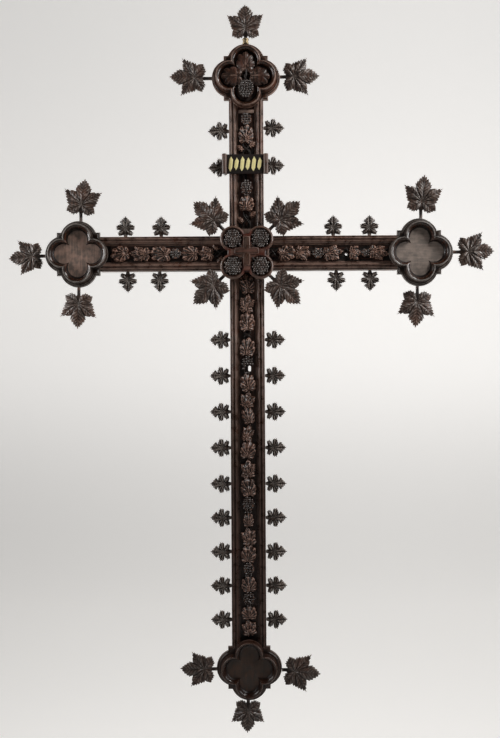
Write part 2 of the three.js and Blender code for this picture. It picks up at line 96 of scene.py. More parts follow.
# Crockets along the beams' edges, in mm from the middle of the crossing.
UPPER_CROCKETS = {"left": (321.5, 225.5), "right": (329, 230.5)}
ARM_CROCKETS = {
    "left": {"up": (318, 224.5), "down": (312.5, 229)},
    "right": {"up": (226.5, 321.5), "down": (233.5, 322)},
}
SHAFT_CROCKETS = [225.5 + 94.3 * min(i, 4) + 89 * max(0, i - 4) for i in range(9)]

# The vine trails: where each ends, whether its leaves point outwards, and its motifs end to end
# from the boss outwards, as (motif, length in mm).
TRAIL_START = 51
TRAILS = {
    "top": (375, True, (
        ("stop", 13), ("twigs", 47), ("leaf", 39), ("grapes", 42), ("plain", 66), ("twigs", 30),
        ("leaf", 47), ("grapes", 31), ("stop", 9),
    )),
    "right": (374, True, (
        ("stop", 7), ("twigs", 24), ("leaf", 46), ("leaf", 43), ("grapes", 29), ("leaf", 52),
        ("plain", 17), ("leaf", 29), ("grapes", 21), ("leaf", 54),
    )),
    "bottom": (997, False, (
        ("plain", 5), ("leaf", 49), ("leaf", 49), ("leaf", 49), ("twigs", 19), ("leaf", 46),
        ("grapes", 47), ("leaf", 45), ("leaf", 41), ("curl", 44), ("curl", 45), ("leaf", 46),
        ("leaf", 50), ("leaf", 49), ("grapes", 43), ("bud", 35), ("leaf", 48), ("leaf", 46),
        ("grapes", 37), ("leaf", 39), ("grapes", 38), ("leaf", 34), ("leaf", 41),
    )),
    "left": (356, True, (
        ("twigs", 36), ("leaf", 42), ("leaf", 43), ("grapes", 28), ("leaf", 54), ("leaf", 55),
        ("leaf", 46),
    )),
}
# Screw holes as (x, z, width, height) in mm, and how far round each the carving stays clear, in mm.
SHAFT_HOLE = (5, -301, 6.5, 14)
ARM_HOLE = (260, -3, 6.5, 6.5)
TRAIL_HOLES = {"bottom": (SHAFT_HOLE, 7), "right": (ARM_HOLE, 3.6)}

# Half of the beams' moulded section from its outer edge inwards, as (mm from the middle, depth in
# mm, how far the line to the next point bows outwards in mm).
BEAM_SECTION = (
    (45, 0, 0), (45, 24, 0.9), (42.8, 27.4, 0), (42.3, 25.0, 0), (41.5, 25.0, 0), (41.1, 27.6, 0.5),
    (38.9, 30, 0.6), (37.2, 29.4, 0), (36.7, 27.0, -0.7), (33.0, 26.8, 0), (32.5, 29.2, 0.5),
    (30.6, 30, 0.3), (29.9, 28.4, -1.0), (25.6, 24.4, 0), (25.0, 21.8, 0), (23.2, 21.6, 0.3),
    (21.5, 20.6, 0), (21.5, 18, 0),
)
# An end's tray from its wall over the rim and the step into the well, in mm as (reach of the lobes,
# their radius, depth below the rim), drawn for a rim of radius TRAY_RIM.
TRAY_RIM = 38
TRAY_SECTION = (
    (39, 40.2, 23), (39, 40.0, 20), (39, 39.2, 18.6), (39, 38.7, 16), (39, 38.2, 8), (39, 38.0, 3.4),
    (39, 37.6, 1.4), (39, 36.9, 0.4), (39, 36.0, 0), (39, 35.0, 0.5), (39, 34.4, 1.5), (39, 34.0, 2.6),
    (39, 33.4, 2.9), (39, 32.4, 3.7), (39, 31.4, 4.5), (38.9, 30.4, 5.3), (38.5, 30.0, 6.6),
    (37.4, 29.2, 11), (36.4, 28.2, 14), (36.0, 27.3, 15.4), (35.6, 26.0, 15.9), (34.8, 24.0, 16),
)
# A dish of the boss from its floor to above its edge, as (radius in mm, depth in mm for a boss
# whose face is BOSS_FACE mm from the wall).
BOSS_FACE = 50
DISH_SECTION = (
    (14, 42), (20.0, 42.3), (22.6, 43.4), (23.8, 44.8), (24.3, 46.2), (25.3, 47.0), (26.4, 47.9),
    (27.5, 48.8), (27.8, 49.4), (28.2, 50.2), (28.2, 52),
)
# The collar as (radius in mm, share of its height).
COLLAR_SECTION = (
    (0, 0), (7.8, 0), (8.4, 0.06), (8.4, 0.20), (7.3, 0.26), (7.0, 0.50), (7.3, 0.70), (8.3, 0.76),
    (8.3, 0.92), (7.6, 1), (0, 1),
)

# Painted shade for the light falling off at the cross's foot, and the heights where it fades out.
PAINTED_FOOT_SHADE = (0.0115, 0.0040, 0.0021)
FADE_FROM, FADE_TO = -0.62, 0.0
# How strongly a bend of the surface counts as a ridge or a hollow.
RELIEF_STRENGTH = 2.4
# Widths of the leaves that fill less than the channel, in mm.
CURL_WIDTH, BUD_WIDTH = 33, 27
# Where the title board's middle lies, in mm right of and above the middle of the crossing.
TITLE_PLACE = (-3, 231)


# Sizes and colours


def length(name, description, millimetres):
    return FloatProperty(
        name=name, description=description, default=millimetres * MM, min=0.0, unit="LENGTH"
    )


def colour(name, description, default):
    return FloatVectorProperty(
        name=name, description=description, default=default, subtype="COLOR", min=0.0, max=1.0
    )


class BeamSizes(bpy.types.PropertyGroup):
    half: length("Half width", "Half the width of a beam", 45)
    face: length("Depth", "How far a beam stands out from the wall", 30)
    lap: length("Lap", "Depth of the crossbar where the upright crosses it", 12)
    floor: length("Channel floor", "Depth of the channel's floor from the wall", 18)


class EndSizes(bpy.types.PropertyGroup):
    board_reach: length("Board reach", "From an end's middle to a board lobe's middle", 38.6)
    board_radius: length("Board lobe", "Radius of the board's lobes", 49)
    barb: length("Barb", "From an end's middle to a barb's corner, sideways and up", 57)
    board_back: length("Board back", "Depth of the board's back from the wall", 18)
    board_face: length("Board depth", "How far the board stands out from the wall", 30)
    backing: length("Backing inset", "How much smaller the block behind the board is", 12)
    tray_radius: length("Tray lobe", "Radius of the tray's lobes at the rim", 38)
    tray_face: length("Rim depth", "How far the tray's rim stands out from the wall", 52)
    floor: length("Floor depth", "Depth of the tray's floor from the wall", 36)


class BossSizes(bpy.types.PropertyGroup):
    lobe: length("Lobe", "From the boss's middle to a lobe's middle, sideways and up", 35.6)
    radius: length("Lobe radius", "Radius of the boss's lobes", 33.3)
    neck: length("Neck", "From the boss's middle to the straight side between two lobes", 50)
    face: length("Depth", "How far the boss stands out from the wall", 50)
    dish_floor: length("Dish floor", "Depth of the dishes' floor from the wall", 42)
    grape: length("Grape", "Distance between neighbouring grapes", 6.6)


class TrailSizes(bpy.types.PropertyGroup):
    bed: length("Bed", "Depth of the trail's ground from the wall", 20.3)
    crown: length("Crown", "Depth of the leaves' crowns from the wall", 33)
    leaf: length("Leaf width", "Width of a leaf in the channel", 40)
    grape: length("Grape", "Distance between neighbouring grapes", 6.4)
    stem: length("Vine", "Radius of the running vine", 2.1)


class TitleSizes(bpy.types.PropertyGroup):
    width: length("Width", "Width between the middles of the rolled ends", 108)
    height: length("Height", "Height of the board", 50)
    face: length("Depth", "How far the board stands out from the wall", 36)
    roll: length("Roll", "Radius of the rolled ends", 6.2)
    strokes: IntProperty(name="Strokes", description="Number of gilt strokes", default=6, min=1)
    pitch: length("Stroke pitch", "Distance between two gilt strokes", 15)
    stroke: length("Stroke width", "Width of a gilt stroke", 9.5)


class LeafSizes(bpy.types.PropertyGroup):
    thick: length("Thickness", "Thickness of a large leaf", 5.5)
    crown: length("Crown", "How far a large leaf's middle stands in front of its back", 6.2)
    stem: length("Stem", "Radius of a large leaf's stem", 4.5)
    depth: length("Depth", "Depth of the leaves round the ends from the wall", 24)
    crossing_depth: length("Crossing depth", "Depth of the leaves at the crossing", 37.5)
    crocket: length("Crocket", "Length of a crocket", 56)
    crocket_thick: length("Crocket thickness", "Thickness of a crocket", 5)
    crocket_depth: length("Crocket depth", "Depth of the crockets from the wall", 14)


class Colours(bpy.types.PropertyGroup):
    dark: colour("Dark oak", "The dark stain in the wood", (0.016, 0.0080, 0.0048))
    warm: colour("Warm oak", "The red-brown where the stain is thin", (0.102, 0.031, 0.014))
    # Ridge colour: polish wear with a painted highlight.
    worn_and_highlighted: colour("Worn oak", "The greyish wax on worn ridges", (0.280, 0.180, 0.142))
    leaf: colour("Leaf oak", "The greyer, drier wood of the leaves", (0.055, 0.038, 0.031))
    # The leaves' ridge colour: dust with a painted highlight.
    dusty: colour("Dusty ridge", "The dust on the leaves' ridges", (0.380, 0.330, 0.295))
    floor: colour("Bare floor", "The dusty floor of the trays", (0.240, 0.200, 0.176))
    gilt: colour("Gilding", "The strokes on the title board", (1.0, 0.88, 0.42))
    brass: colour("Brass", "The collar under the top leaf", (0.36, 0.28, 0.17))
    paper: colour("Backdrop", "The pale floor and backdrop", (0.80, 0.785, 0.765))


class StageSettings(bpy.types.PropertyGroup):
    across: FloatProperty(
        name="Camera across", description="How far right of the crossing the camera stands",
        default=0.0455, unit="LENGTH",
    )
    below: FloatProperty(
        name="Camera height", description="Height of the camera above the crossing",
        default=-0.284, unit="LENGTH",
    )
    away: FloatProperty(
        name="Camera distance", description="From the wall to the camera", default=2.21, unit="LENGTH"
    )
    focal: FloatProperty(name="Lens", description="Focal length in millimetres", default=40.83)
    roll: FloatProperty(
        name="Camera roll", description="Clockwise turn of the camera", default=math.radians(0.35),
        subtype="ANGLE",
    )
    light: FloatProperty(
        name="Light", description="Power of the studio lights, as a share", default=1.0,
        subtype="FACTOR",
    )
    glow: FloatProperty(name="Glow", description="Glow of the backdrop behind the cross", default=0.68)
    room: FloatProperty(name="Room", description="Light of the room round the cross", default=0.02)


class CrossSettings(bpy.types.PropertyGroup):
    beams: PointerProperty(type=BeamSizes)
    ends: PointerProperty(type=EndSizes)
    boss: PointerProperty(type=BossSizes)
    trails: PointerProperty(type=TrailSizes)
    title: PointerProperty(type=TitleSizes)
    leaves: PointerProperty(type=LeafSizes)
    colours: PointerProperty(type=Colours)
    stage: PointerProperty(type=StageSettings)


def settings():
    return bpy.context.scene.wall_cross


# Finishes


def add_node(tree, kind, inputs=None, **values):
    """A node with its properties, and its input sockets set or linked."""
    node = tree.nodes.new(kind)
    for name, value in values.items():
        setattr(node, name, value)
    for socket, value in (inputs or {}).items():
        if isinstance(value, bpy.types.NodeSocket):
            tree.links.new(value, node.inputs[socket])
        else:
            node.inputs[socket].default_value = value
    return node


def mix_colours(tree, share, first, second):
    """The first colour where share is 0 and the second where it is 1."""
    node = add_node(tree, "ShaderNodeMix", {0: share, 6: first, 7: second}, data_type="RGBA")
    return node.outputs[2]


def combine(tree, operation, first, second):
    return add_node(tree, "ShaderNodeMath", {0: first, 1: second}, operation=operation).outputs[0]


def ramp(tree, value, low, high, start=0.0, end=1.0):
    """Maps a value between low and high smoothly onto start to end."""
    node = add_node(
        tree, "ShaderNodeMapRange",
        {"Value": value, "From Min": low, "From Max": high, "To Min": start, "To Max": end},
        interpolation_type="SMOOTHSTEP",
    )
    return node.outputs["Result"]


def opaque(rgb):
    return (*rgb, 1.0)


def new_finish(name):
    finish = bpy.data.materials.new(name)
    finish.use_nodes = True
    finish.node_tree.nodes.clear()
    return finish, finish.node_tree


def close_finish(tree, inputs):
    shader = add_node(tree, "ShaderNodeBsdfPrincipled", inputs)
    add_node(tree, "ShaderNodeOutputMaterial", {"Surface": shader.outputs["BSDF"]})


def oak(
    name, grain="Z", dark=None, warm=None, worn_and_highlighted=None, red=0.5, wax_and_highlight=1.0, rough=0.40, blotch=0.0,
    foot=0.74, seed=0.0,
):
    """Dark stained oak: long grain and pores, red-brown patches, ridges lightened by wear of the polish
    and by a painted highlight, and hollows darkened with painted shade and some grime. red is how much
    of the red-brown shows, wax how bright the ridges are and blotch how strongly dirt and dust spot a
    bare face. foot is how much painted shade darkens the wood at the foot of the cross, where the
    light falls off."""
    colours = settings().colours
    dark, warm, worn_and_highlighted = dark or colours.dark, warm or colours.warm, worn_and_highlighted or colours.worn_and_highlighted
    finish, tree = new_finish(name)
    place = add_node(tree, "ShaderNodeTexCoord").outputs["Object"]
    stretch = {"X": (0.09, 1, 1), "Z": (1, 1, 0.09)}[grain]

    def spots(scale, detail, stretched=True, grit=0.6, shift=0.0):
        mapped = add_node(tree, "ShaderNodeMapping", {
            "Vector": place, "Location": (seed + shift, shift, seed),
            "Scale": stretch if stretched else (1, 1, 1),
        })
        return add_node(tree, "ShaderNodeTexNoise", {
            "Vector": mapped.outputs["Vector"], "Scale": scale, "Detail": detail, "Roughness": grit,
        }).outputs["Fac"]

    def over(under, share, rgb, strength=1.0):
        return mix_colours(tree, share, under, opaque([strength * c for c in rgb]))

    rays = spots(190, 6)
    pores = spots(900, 3, grit=0.7, shift=3.1)
    patches = spots(17, 4, stretched=False, shift=1.7)
    mottle = spots(60, 5, stretched=False, shift=5.3)
    # Bend of the surface: ridges get polish wear and a painted highlight, hollows painted shade.
    relief = add_node(tree, "ShaderNodeAttribute", attribute_name="worn_and_highlighted").outputs["Fac"]
    height = add_node(tree, "ShaderNodeSeparateXYZ", {"Vector": place}).outputs["Z"]

    half_stained = [0.55 * w + 0.45 * d for w, d in zip(warm, dark)]
    stain = over(opaque(dark), ramp(tree, rays, 0.40, 0.68), half_stained)
    redder = 0.26 * red
    reddened = over(stain, ramp(tree, patches, 0.66 - redder, 0.86 - redder, 0.0, 0.85), warm)
    # Ridges lightened: polish wear with a painted highlight.
    ridge = combine(
        tree, "MULTIPLY", ramp(tree, relief, 0.53, 0.80, 0.0, 0.8 * wax_and_highlight),
        ramp(tree, mottle, 0.30, 0.62, 0.25, 1.0),
    )
    ridges_waxed_and_highlighted = over(reddened, ridge, worn_and_highlighted)
    # Hollows darkened: painted shade with some grime.
    darkened = over(ridges_waxed_and_highlighted, ramp(tree, relief, 0.24, 0.49, 0.85, 0.0), colours.dark, 0.35)
    shade = over(darkened, ramp(tree, pores, 0.60, 0.72, 0.0, 0.5), colours.dark, 0.5)
    if blotch:
        shade = over(shade, ramp(tree, mottle, 0.40, 0.62, 0.0, blotch), warm, 1.3)
        shade = over(shade, ramp(tree, rays, 0.40, 0.60, 0.4 * blotch, 0.0), dark, 0.4)
    # Painted shade, darker towards the foot of the cross where the light falls off.
    shade = over(shade, ramp(tree, height, FADE_FROM, FADE_TO, foot, 0.0), PAINTED_FOOT_SHADE)

    dull = combine(
        tree, "ADD", ramp(tree, mottle, 0.3, 0.7, rough - 0.07, rough + 0.12),
        ramp(tree, relief, 0.2, 0.6, 0.16, 0.0),
    )
    fine = add_node(
        tree, "ShaderNodeBump", {"Height": rays, "Strength": 0.22, "Distance": 0.6 * MM}
    ).outputs["Normal"]
    bump = add_node(
        tree, "ShaderNodeBump",
        {"Height": mottle, "Normal": fine, "Strength": 0.30, "Distance": 1.6 * MM},
    ).outputs["Normal"]
    close_finish(tree, {
        "Base Color": shade, "Roughness": dull, "Normal": bump, "Specular IOR Level": 0.42,
    })
    return finish


def grape_oak(name):
    """The grapes: a darker oak, painted shade for the gaps between them, with a hard shine on each."""
    return oak(
        name, dark=(0.012, 0.010, 0.009), worn_and_highlighted=(0.17, 0.15, 0.14), red=0.10, wax_and_highlight=0.8, rough=0.14,
        seed=6.6,
    )


def metal(name, tint, rough, dirt=0.6, metallic=0.85):
    """A dull metal or gilding with a little dirt on it."""
    finish, tree = new_finish(name)
    place = add_node(tree, "ShaderNodeTexCoord").outputs["Object"]
    mottle = add_node(
        tree, "ShaderNodeTexNoise", {"Vector": place, "Scale": 240.0, "Detail": 5.0, "Roughness": 0.6}
    ).outputs["Fac"]
    darkened = ramp(tree, mottle, 0.42, 0.75, 0.0, dirt)
    bump = add_node(tree, "ShaderNodeBump", {"Height": mottle, "Strength": 0.25, "Distance": 0.4 * MM})
    close_finish(tree, {
        "Base Color": mix_colours(tree, darkened, opaque(tint), opaque([0.30 * c for c in tint])),
        "Metallic": metallic,
        "Roughness": ramp(tree, mottle, 0.3, 0.7, rough - 0.08, rough + 0.14),
        "Normal": bump.outputs["Normal"],
    })
    return finish


def pale_paper(name):
    """Plain paper that glows softly where it stands behind the cross, a little less at its left and
    at its foot."""
    view, paper = settings().stage, settings().colours.paper
    finish, tree = new_finish(name)
    place = add_node(tree, "ShaderNodeTexCoord").outputs["Object"]
    cloud = add_node(
        tree, "ShaderNodeTexNoise", {"Vector": place, "Scale": 0.6, "Detail": 2.0}
    ).outputs["Fac"]
    clouded = mix_colours(
        tree, ramp(tree, cloud, 0.3, 0.7), opaque(paper), opaque([0.985 * c for c in paper])
    )
    x, y, z = add_node(tree, "ShaderNodeSeparateXYZ", {"Vector": place}).outputs
    share = ramp(tree, x, -3.2, 2.6, 0.80, 1.0)
    low, high = ramp(tree, z, -2.12, -0.1, 0.57, 1.0), ramp(tree, z, 0.4, 3.4, 1.0, 0.92)
    for other in (low, high, ramp(tree, y, 0.7, 1.9)):
        share = combine(tree, "MULTIPLY", share, other)
    close_finish(tree, {
        "Base Color": clouded, "Roughness": 0.95, "Specular IOR Level": 0.1,
        "Emission Color": mix_colours(tree, share, opaque((0, 0, 0)), opaque((1.0, 0.985, 0.965))),
        "Emission Strength": view.glow,
    })
    return finish


# Making pieces


def mark_relief(mesh):
    """Writes how far each vertex stands out of its neighbours as the attribute worn: 0.5 is flat,
    more is a ridge and less is a hollow. The finishes lighten its ridges with polish wear and a
    painted highlight, and darken its hollows with painted shade and some grime."""
    count = len(mesh.vertices)
    places, normals = np.zeros(count * 3), np.zeros(count * 3)
    mesh.vertices.foreach_get("co", places)
    mesh.vertices.foreach_get("normal", normals)
    places, normals = places.reshape(-1, 3), normals.reshape(-1, 3)
    ends = np.zeros(len(mesh.edges) * 2, dtype=int)
    mesh.edges.foreach_get("vertices", ends)
    near, far = ends.reshape(-1, 2).T
    way = places[far] - places[near]
    way /= np.maximum(np.linalg.norm(way, axis=1), 1e-9)[:, None]
    total, bent = np.zeros(count), np.zeros(count)
    for a, b, sign in ((near, far, 1), (far, near, -1)):
        np.add.at(bent, a, sign * np.einsum("ij,ij->i", way, normals[a]))
        np.add.at(total, a, 1)
    bent /= np.maximum(total, 1)
    spread = np.zeros(count)
    for a, b in ((near, far), (far, near)):
        np.add.at(spread, a, bent[b])
    bent = 0.6 * bent + 0.4 * spread / np.maximum(total, 1)
    worn_and_highlighted = np.clip(0.5 - RELIEF_STRENGTH * bent, 0, 1)
    mesh.attributes.new("worn_and_highlighted", "FLOAT", "POINT").data.foreach_set("value", worn_and_highlighted.astype(np.float32))


def finish_piece(name, bm, finishes, nodes=(), sharp=38):
    """Turns a bmesh into a piece that moves with the cross and stands for its CAD nodes."""
    bmesh.ops.remove_doubles(bm, verts=bm.verts, dist=1e-6)
    mesh = bpy.data.meshes.new(name)
    bm.to_mesh(mesh)
    bm.free()
    if not mesh.polygons:
        raise RuntimeError(f"{name} came out empty")
    mesh.polygons.foreach_set("use_smooth", [True] * len(mesh.polygons))
    mark_relief(mesh)
    mesh.set_sharp_from_angle(angle=math.radians(sharp))
    piece = bpy.data.objects.new(name, mesh)
    bpy.context.scene.collection.objects.link(piece)
    for finish in finishes:
        mesh.materials.append(finish)
    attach(piece, "root")
    if nodes:
        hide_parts(*nodes)
    return piece


def put(x=0.0, depth=0.0, z=0.0, turn=0.0):
    """The place of a form made about the origin, turned clockwise as seen from the front."""
    return Matrix.Translation((x, -depth, z)) @ Matrix.Rotation(math.radians(turn), 4, "Y")


def along(turn, distance, aside=0.0):
    """The x and z of a point given along an arm and to the arm's right."""
    angle = math.radians(turn)
    return (
        distance * math.sin(angle) + aside * math.cos(angle),
        distance * math.cos(angle) - aside * math.sin(angle),
    )


def merge(bm, other, matrix=None):
    """Adds another bmesh's form to this one."""
    if matrix is not None:
        bmesh.ops.transform(other, matrix=matrix, verts=other.verts)
    mesh = bpy.data.meshes.new("blank")
    other.to_mesh(mesh)
    other.free()
    bm.from_mesh(mesh)
    bpy.data.meshes.remove(mesh)


def carve(bm, tool, operation="DIFFERENCE"):
    """Cuts one closed form out of another, or joins them, and returns the result."""
    blanks = []
    for form in (bm, tool):
        bmesh.ops.recalc_face_normals(form, faces=form.faces)
        mesh = bpy.data.meshes.new("blank")
        form.to_mesh(mesh)
        form.free()
        blanks.append(bpy.data.objects.new("blank", mesh))
        bpy.context.scene.collection.objects.link(blanks[-1])
    cut = blanks[0].modifiers.new("cut", "BOOLEAN")
    cut.operation, cut.object, cut.solver = operation, blanks[1], "EXACT"
    result = bmesh.new()
    result.from_object(blanks[0], bpy.context.evaluated_depsgraph_get())
    for blank in blanks:
        mesh = blank.data
        bpy.data.objects.remove(blank)
        bpy.data.meshes.remove(mesh)
    return result


def next_ring(bm, edges, ring=()):
    """Draws a closed row of edges on by one step, and returns its new vertices and edges. Where the
    ring that they come from is given, the vertices follow its order."""
    made = bmesh.ops.extrude_edge_only(bm, edges=edges)["geom"]
    fresh = [v for v in made if isinstance(v, bmesh.types.BMVert)]
    new = set(fresh)
    onward = [e for v in fresh for e in v.link_edges if e.verts[0] in new and e.verts[1] in new]
    if ring:
        order = {v.co.to_tuple(9): i for i, v in enumerate(ring)}
        fresh.sort(key=lambda v: order[v.co.to_tuple(9)])
    return fresh, list(dict.fromkeys(onward))


def moulded(sections):
    """A form that passes through outlines of the same number of points, each at its own depth."""
    bm = bmesh.new()
    outline, depth = sections[0]
    ring = first = [bm.verts.new((x, -depth, z)) for x, z in outline]
    edges = [bm.edges.new((ring[i - 1], ring[i])) for i in range(len(ring))]
    for outline, depth in sections[1:]:
        ring, edges = next_ring(bm, edges, ring)
        for vert, (x, z) in zip(ring, outline):
            vert.co = (x, -depth, z)
    bm.faces.new(first)
    bm.faces.new(ring)
    bmesh.ops.recalc_face_normals(bm, faces=bm.faces)
    return bm


def block(low, high, soften=0.0):
    """A block between two corners as (x, depth, z), with softened edges if asked."""
    bm = bmesh.new()
    size = [h - l for l, h in zip(low, high)]
    middle = [(h + l) / 2 for l, h in zip(low, high)]
    matrix = Matrix.Translation((middle[0], -middle[1], middle[2])) @ Matrix.Diagonal((*size, 1))
    bmesh.ops.create_cube(bm, size=1.0, matrix=matrix)
    if soften:
        bmesh.ops.bevel(
            bm, geom=bm.edges[:], offset=soften, affect="EDGES", segments=3, profile=0.5, material=-1
        )
    return bm


def circle(radius, sides, x=0.0, z=0.0, squash=1.0):
    """The points of a circle, or of an oval that is squash times as high as wide."""
    return [
        (
            x + radius * math.cos(2 * math.pi * i / sides),
            z + squash * radius * math.sin(2 * math.pi * i / sides),
        )
        for i in range(sides)
    ]


def tube(bm, path, radii, sides=10):
    """A round stem through points given as (x, depth, z), with a radius at each."""
    points = [Vector((x, -depth, z)) for x, depth, z in path]
    ring = first = bmesh.ops.create_circle(bm, cap_ends=False, radius=1.0, segments=sides)["verts"]
    unit = [v.co.copy() for v in ring]
    edges = list(dict.fromkeys(e for v in ring for e in v.link_edges))
    for step, (point, radius) in enumerate(zip(points, radii)):
        before, after = points[max(step - 1, 0)], points[min(step + 1, len(points) - 1)]
        way = (after - before).normalized()
        across = way.cross(Vector((0, 1, 0)))
        across = across.normalized() if across.length > 1e-6 else Vector((1, 0, 0))
        front = across.cross(way).normalized()
        if step:
            ring, edges = next_ring(bm, edges, ring)
        for vert, u in zip(ring, unit):
            vert.co = point + across * (u.x * radius) + front * (u.y * radius)
    bm.faces.new(first)
    bm.faces.new(ring)


def uneven(place, scale, amount):
    """A gouge's unevenness at a place, in metres."""
    return amount * noise.fractal(Vector(place) * scale, 1.0, 2.0, 3)


def sway(place):
    """Three smooth unevennesses of a place, from -1 to 1 and the same in every run."""
    return Vector([noise.noise(place + Vector((31.7, -18.3, 9.1)) * k) for k in range(3)])


# Leaves


class LeafForm(NamedTuple):
    """A leaf of length 1 with its foot at the origin and its tip up. half lists the right edge from
    the tip as (across, up, teeth to the next point): teeth above 0 point back to this point and below
    0 on to the next. heart is where the veins meet, spine how far their start spreads along the
    midrib, and lobes are (turn in degrees, half angle in degrees) of each lobe. tooth is how deep the
    teeth are cut, and pleat the degrees between ridges that fan out from the heart, or 0 where side
    veins branch from each lobe's own vein."""

    half: tuple
    heart: float
    spine: float
    lobes: tuple
    tooth: float
    pleat: float = 0.0


VINE_LEAF = LeafForm(
    half=(
        (0, 1, 2), (0.120, 0.885, 2), (0.235, 0.730, 2), (0.205, 0.610, 0), (0.350, 0.630, -2),
        (0.535, 0.655, 5), (0.415, 0.260, 1), (0.365, 0.185, 0), (0.395, 0.025, 3),
        (0.205, -0.062, 2), (0.043, 0.010, 0),
    ),
    heart=0.25, spine=0.18, lobes=((0, 35), (54, 25), (124, 44)), tooth=0.043,
)
TRAIL_LEAF = LeafForm(
    half=(
        (0, 1, 0), (0.13, 0.94, 0), (0.18, 0.85, 0), (0.35, 0.86, 0), (0.44, 0.72, 0),
        (0.40, 0.61, 0), (0.50, 0.52, 0), (0.49, 0.33, 0), (0.42, 0.27, 0), (0.42, 0.12, 0),
        (0.26, 0.02, 0), (0.03, 0.08, 0),
    ),
    heart=0.20, spine=0.50, lobes=((0, 26), (52, 26), (104, 26)), tooth=0.0, pleat=26.0,
)
SPRIG_LEAF = LeafForm(
    half=(
        (0, 1, 2), (0.22, 0.74, 0), (0.19, 0.68, 0), (0.47, 0.70, 3), (0.46, 0.40, 0), (0.34, 0.34, 0),
        (0.44, 0.12, 2), (0.18, 0.0, 0), (0.03, 0.08, 0),
    ),
    heart=0.16, spine=0.35, lobes=((0, 28), (56, 28), (118, 30)), tooth=0.045,
)
CROCKET_LEAF = LeafForm(
    half=(
        (0, 1, 4), (0.272, 0.715, 1), (0.090, 0.600, 0), (0.250, 0.605, -2), (0.392, 0.540, 2),
        (0.380, 0.365, 0), (0.135, 0.335, 0), (0.275, 0.275, -1), (0.335, 0.205, 2), (0.290, 0.065, 0),
        (0.085, 0.120, 0), (0.050, 0.0, 0),
    ),
    heart=0.38, spine=0.45, lobes=((0, 34), (66, 28), (122, 30)), tooth=0.050,
)
# How far the edge is cut in at four steps along a tooth.
TOOTH = ((0.0, 0.0), (0.32, 0.22), (0.62, 0.60), (0.86, 1.0))


def leaf_rim(form, size, width, seed, step):
    """The leaf's toothed edge, from the tip down its right side and up its left."""
    rim = []
    for side in (1, -1):
        places = []
        for (x0, z0, teeth), (x1, z1, _) in zip(form.half, form.half[1:]):
            start, way = Vector((x0, z0)), Vector((x1 - x0, z1 - z0))
            out = Vector((-way.y, way.x)).normalized()
            count = abs(teeth) or max(1, round(way.length * size / step))
            cuts = [(0.0, 0.05 * way.length)] if not teeth else TOOTH
            if teeth < 0:
                cuts = [(0.0, 0.0)] + [(1 - share, dip) for share, dip in TOOTH[:0:-1]]
            for k in range(count):
                for share, dip in cuts:
                    at = (k + share) / count
                    if teeth:
                        differs = noise.noise(Vector((k * 1.7, side * 3.1, seed + z0 * 9)))
                        rise = -dip * form.tooth * (1 + 0.3 * differs)
                    else:
                        rise = dip * math.sin(math.pi * at)
                    places.append(start + way * at + out * rise)
        places.append(Vector(form.half[-1][:2]))
        points = [Vector((side * at.x * width * size, at.y * size)) for at in places]
        rim += points if side > 0 else points[:0:-1]
    worked = []
    for point in rim:
        wobble = sway(Vector((point.x * 45, point.y * 45, seed * 3.7)))
        inset = 1 - 0.006 * (1 + wobble.z)
        aside = 0.5 * MM * wobble.x * min(1, abs(point.x) * 200)
        worked.append(Vector((point.x * inset + aside, point.y * inset)))
    return worked


def leaf_relief(form, x, z, size, vein):
    """(roll, midrib, ribs) at a point of the blade: how far the two halves of a lobe roll up beside
    its vein, the nearness to the vein, and the hollows between the side veins."""
    over = z - form.heart * size
    reach = math.hypot(x, over)
    turn = math.degrees(math.atan2(abs(x), over))
    axis, half = min(form.lobes, key=lambda lobe: abs(turn - lobe[0]) / lobe[1])
    off = math.radians(turn - axis)
    onward, across = reach * math.cos(off), abs(reach * math.sin(off))
    edge = min(1.0, across / (reach * math.sin(math.radians(half)) + 1e-9))
    start = min(1.0, reach / (0.16 * size))
    roll = math.sin(math.pi * (0.10 + 0.82 * edge)) * start
    midrib = math.exp(-((across / vein) ** 2)) * start
    if form.pleat:
        ribs = abs(math.sin(math.pi * turn / form.pleat)) ** 0.7 - 1
        return roll, midrib, ribs * start
    ribs = abs(math.sin(math.pi * (onward - 0.85 * across) / (4.2 * vein))) ** 0.55 - 1
    fade = min(1.0, across / (1.6 * vein)) * (1 - edge**6)
    return roll, midrib, ribs * fade * start


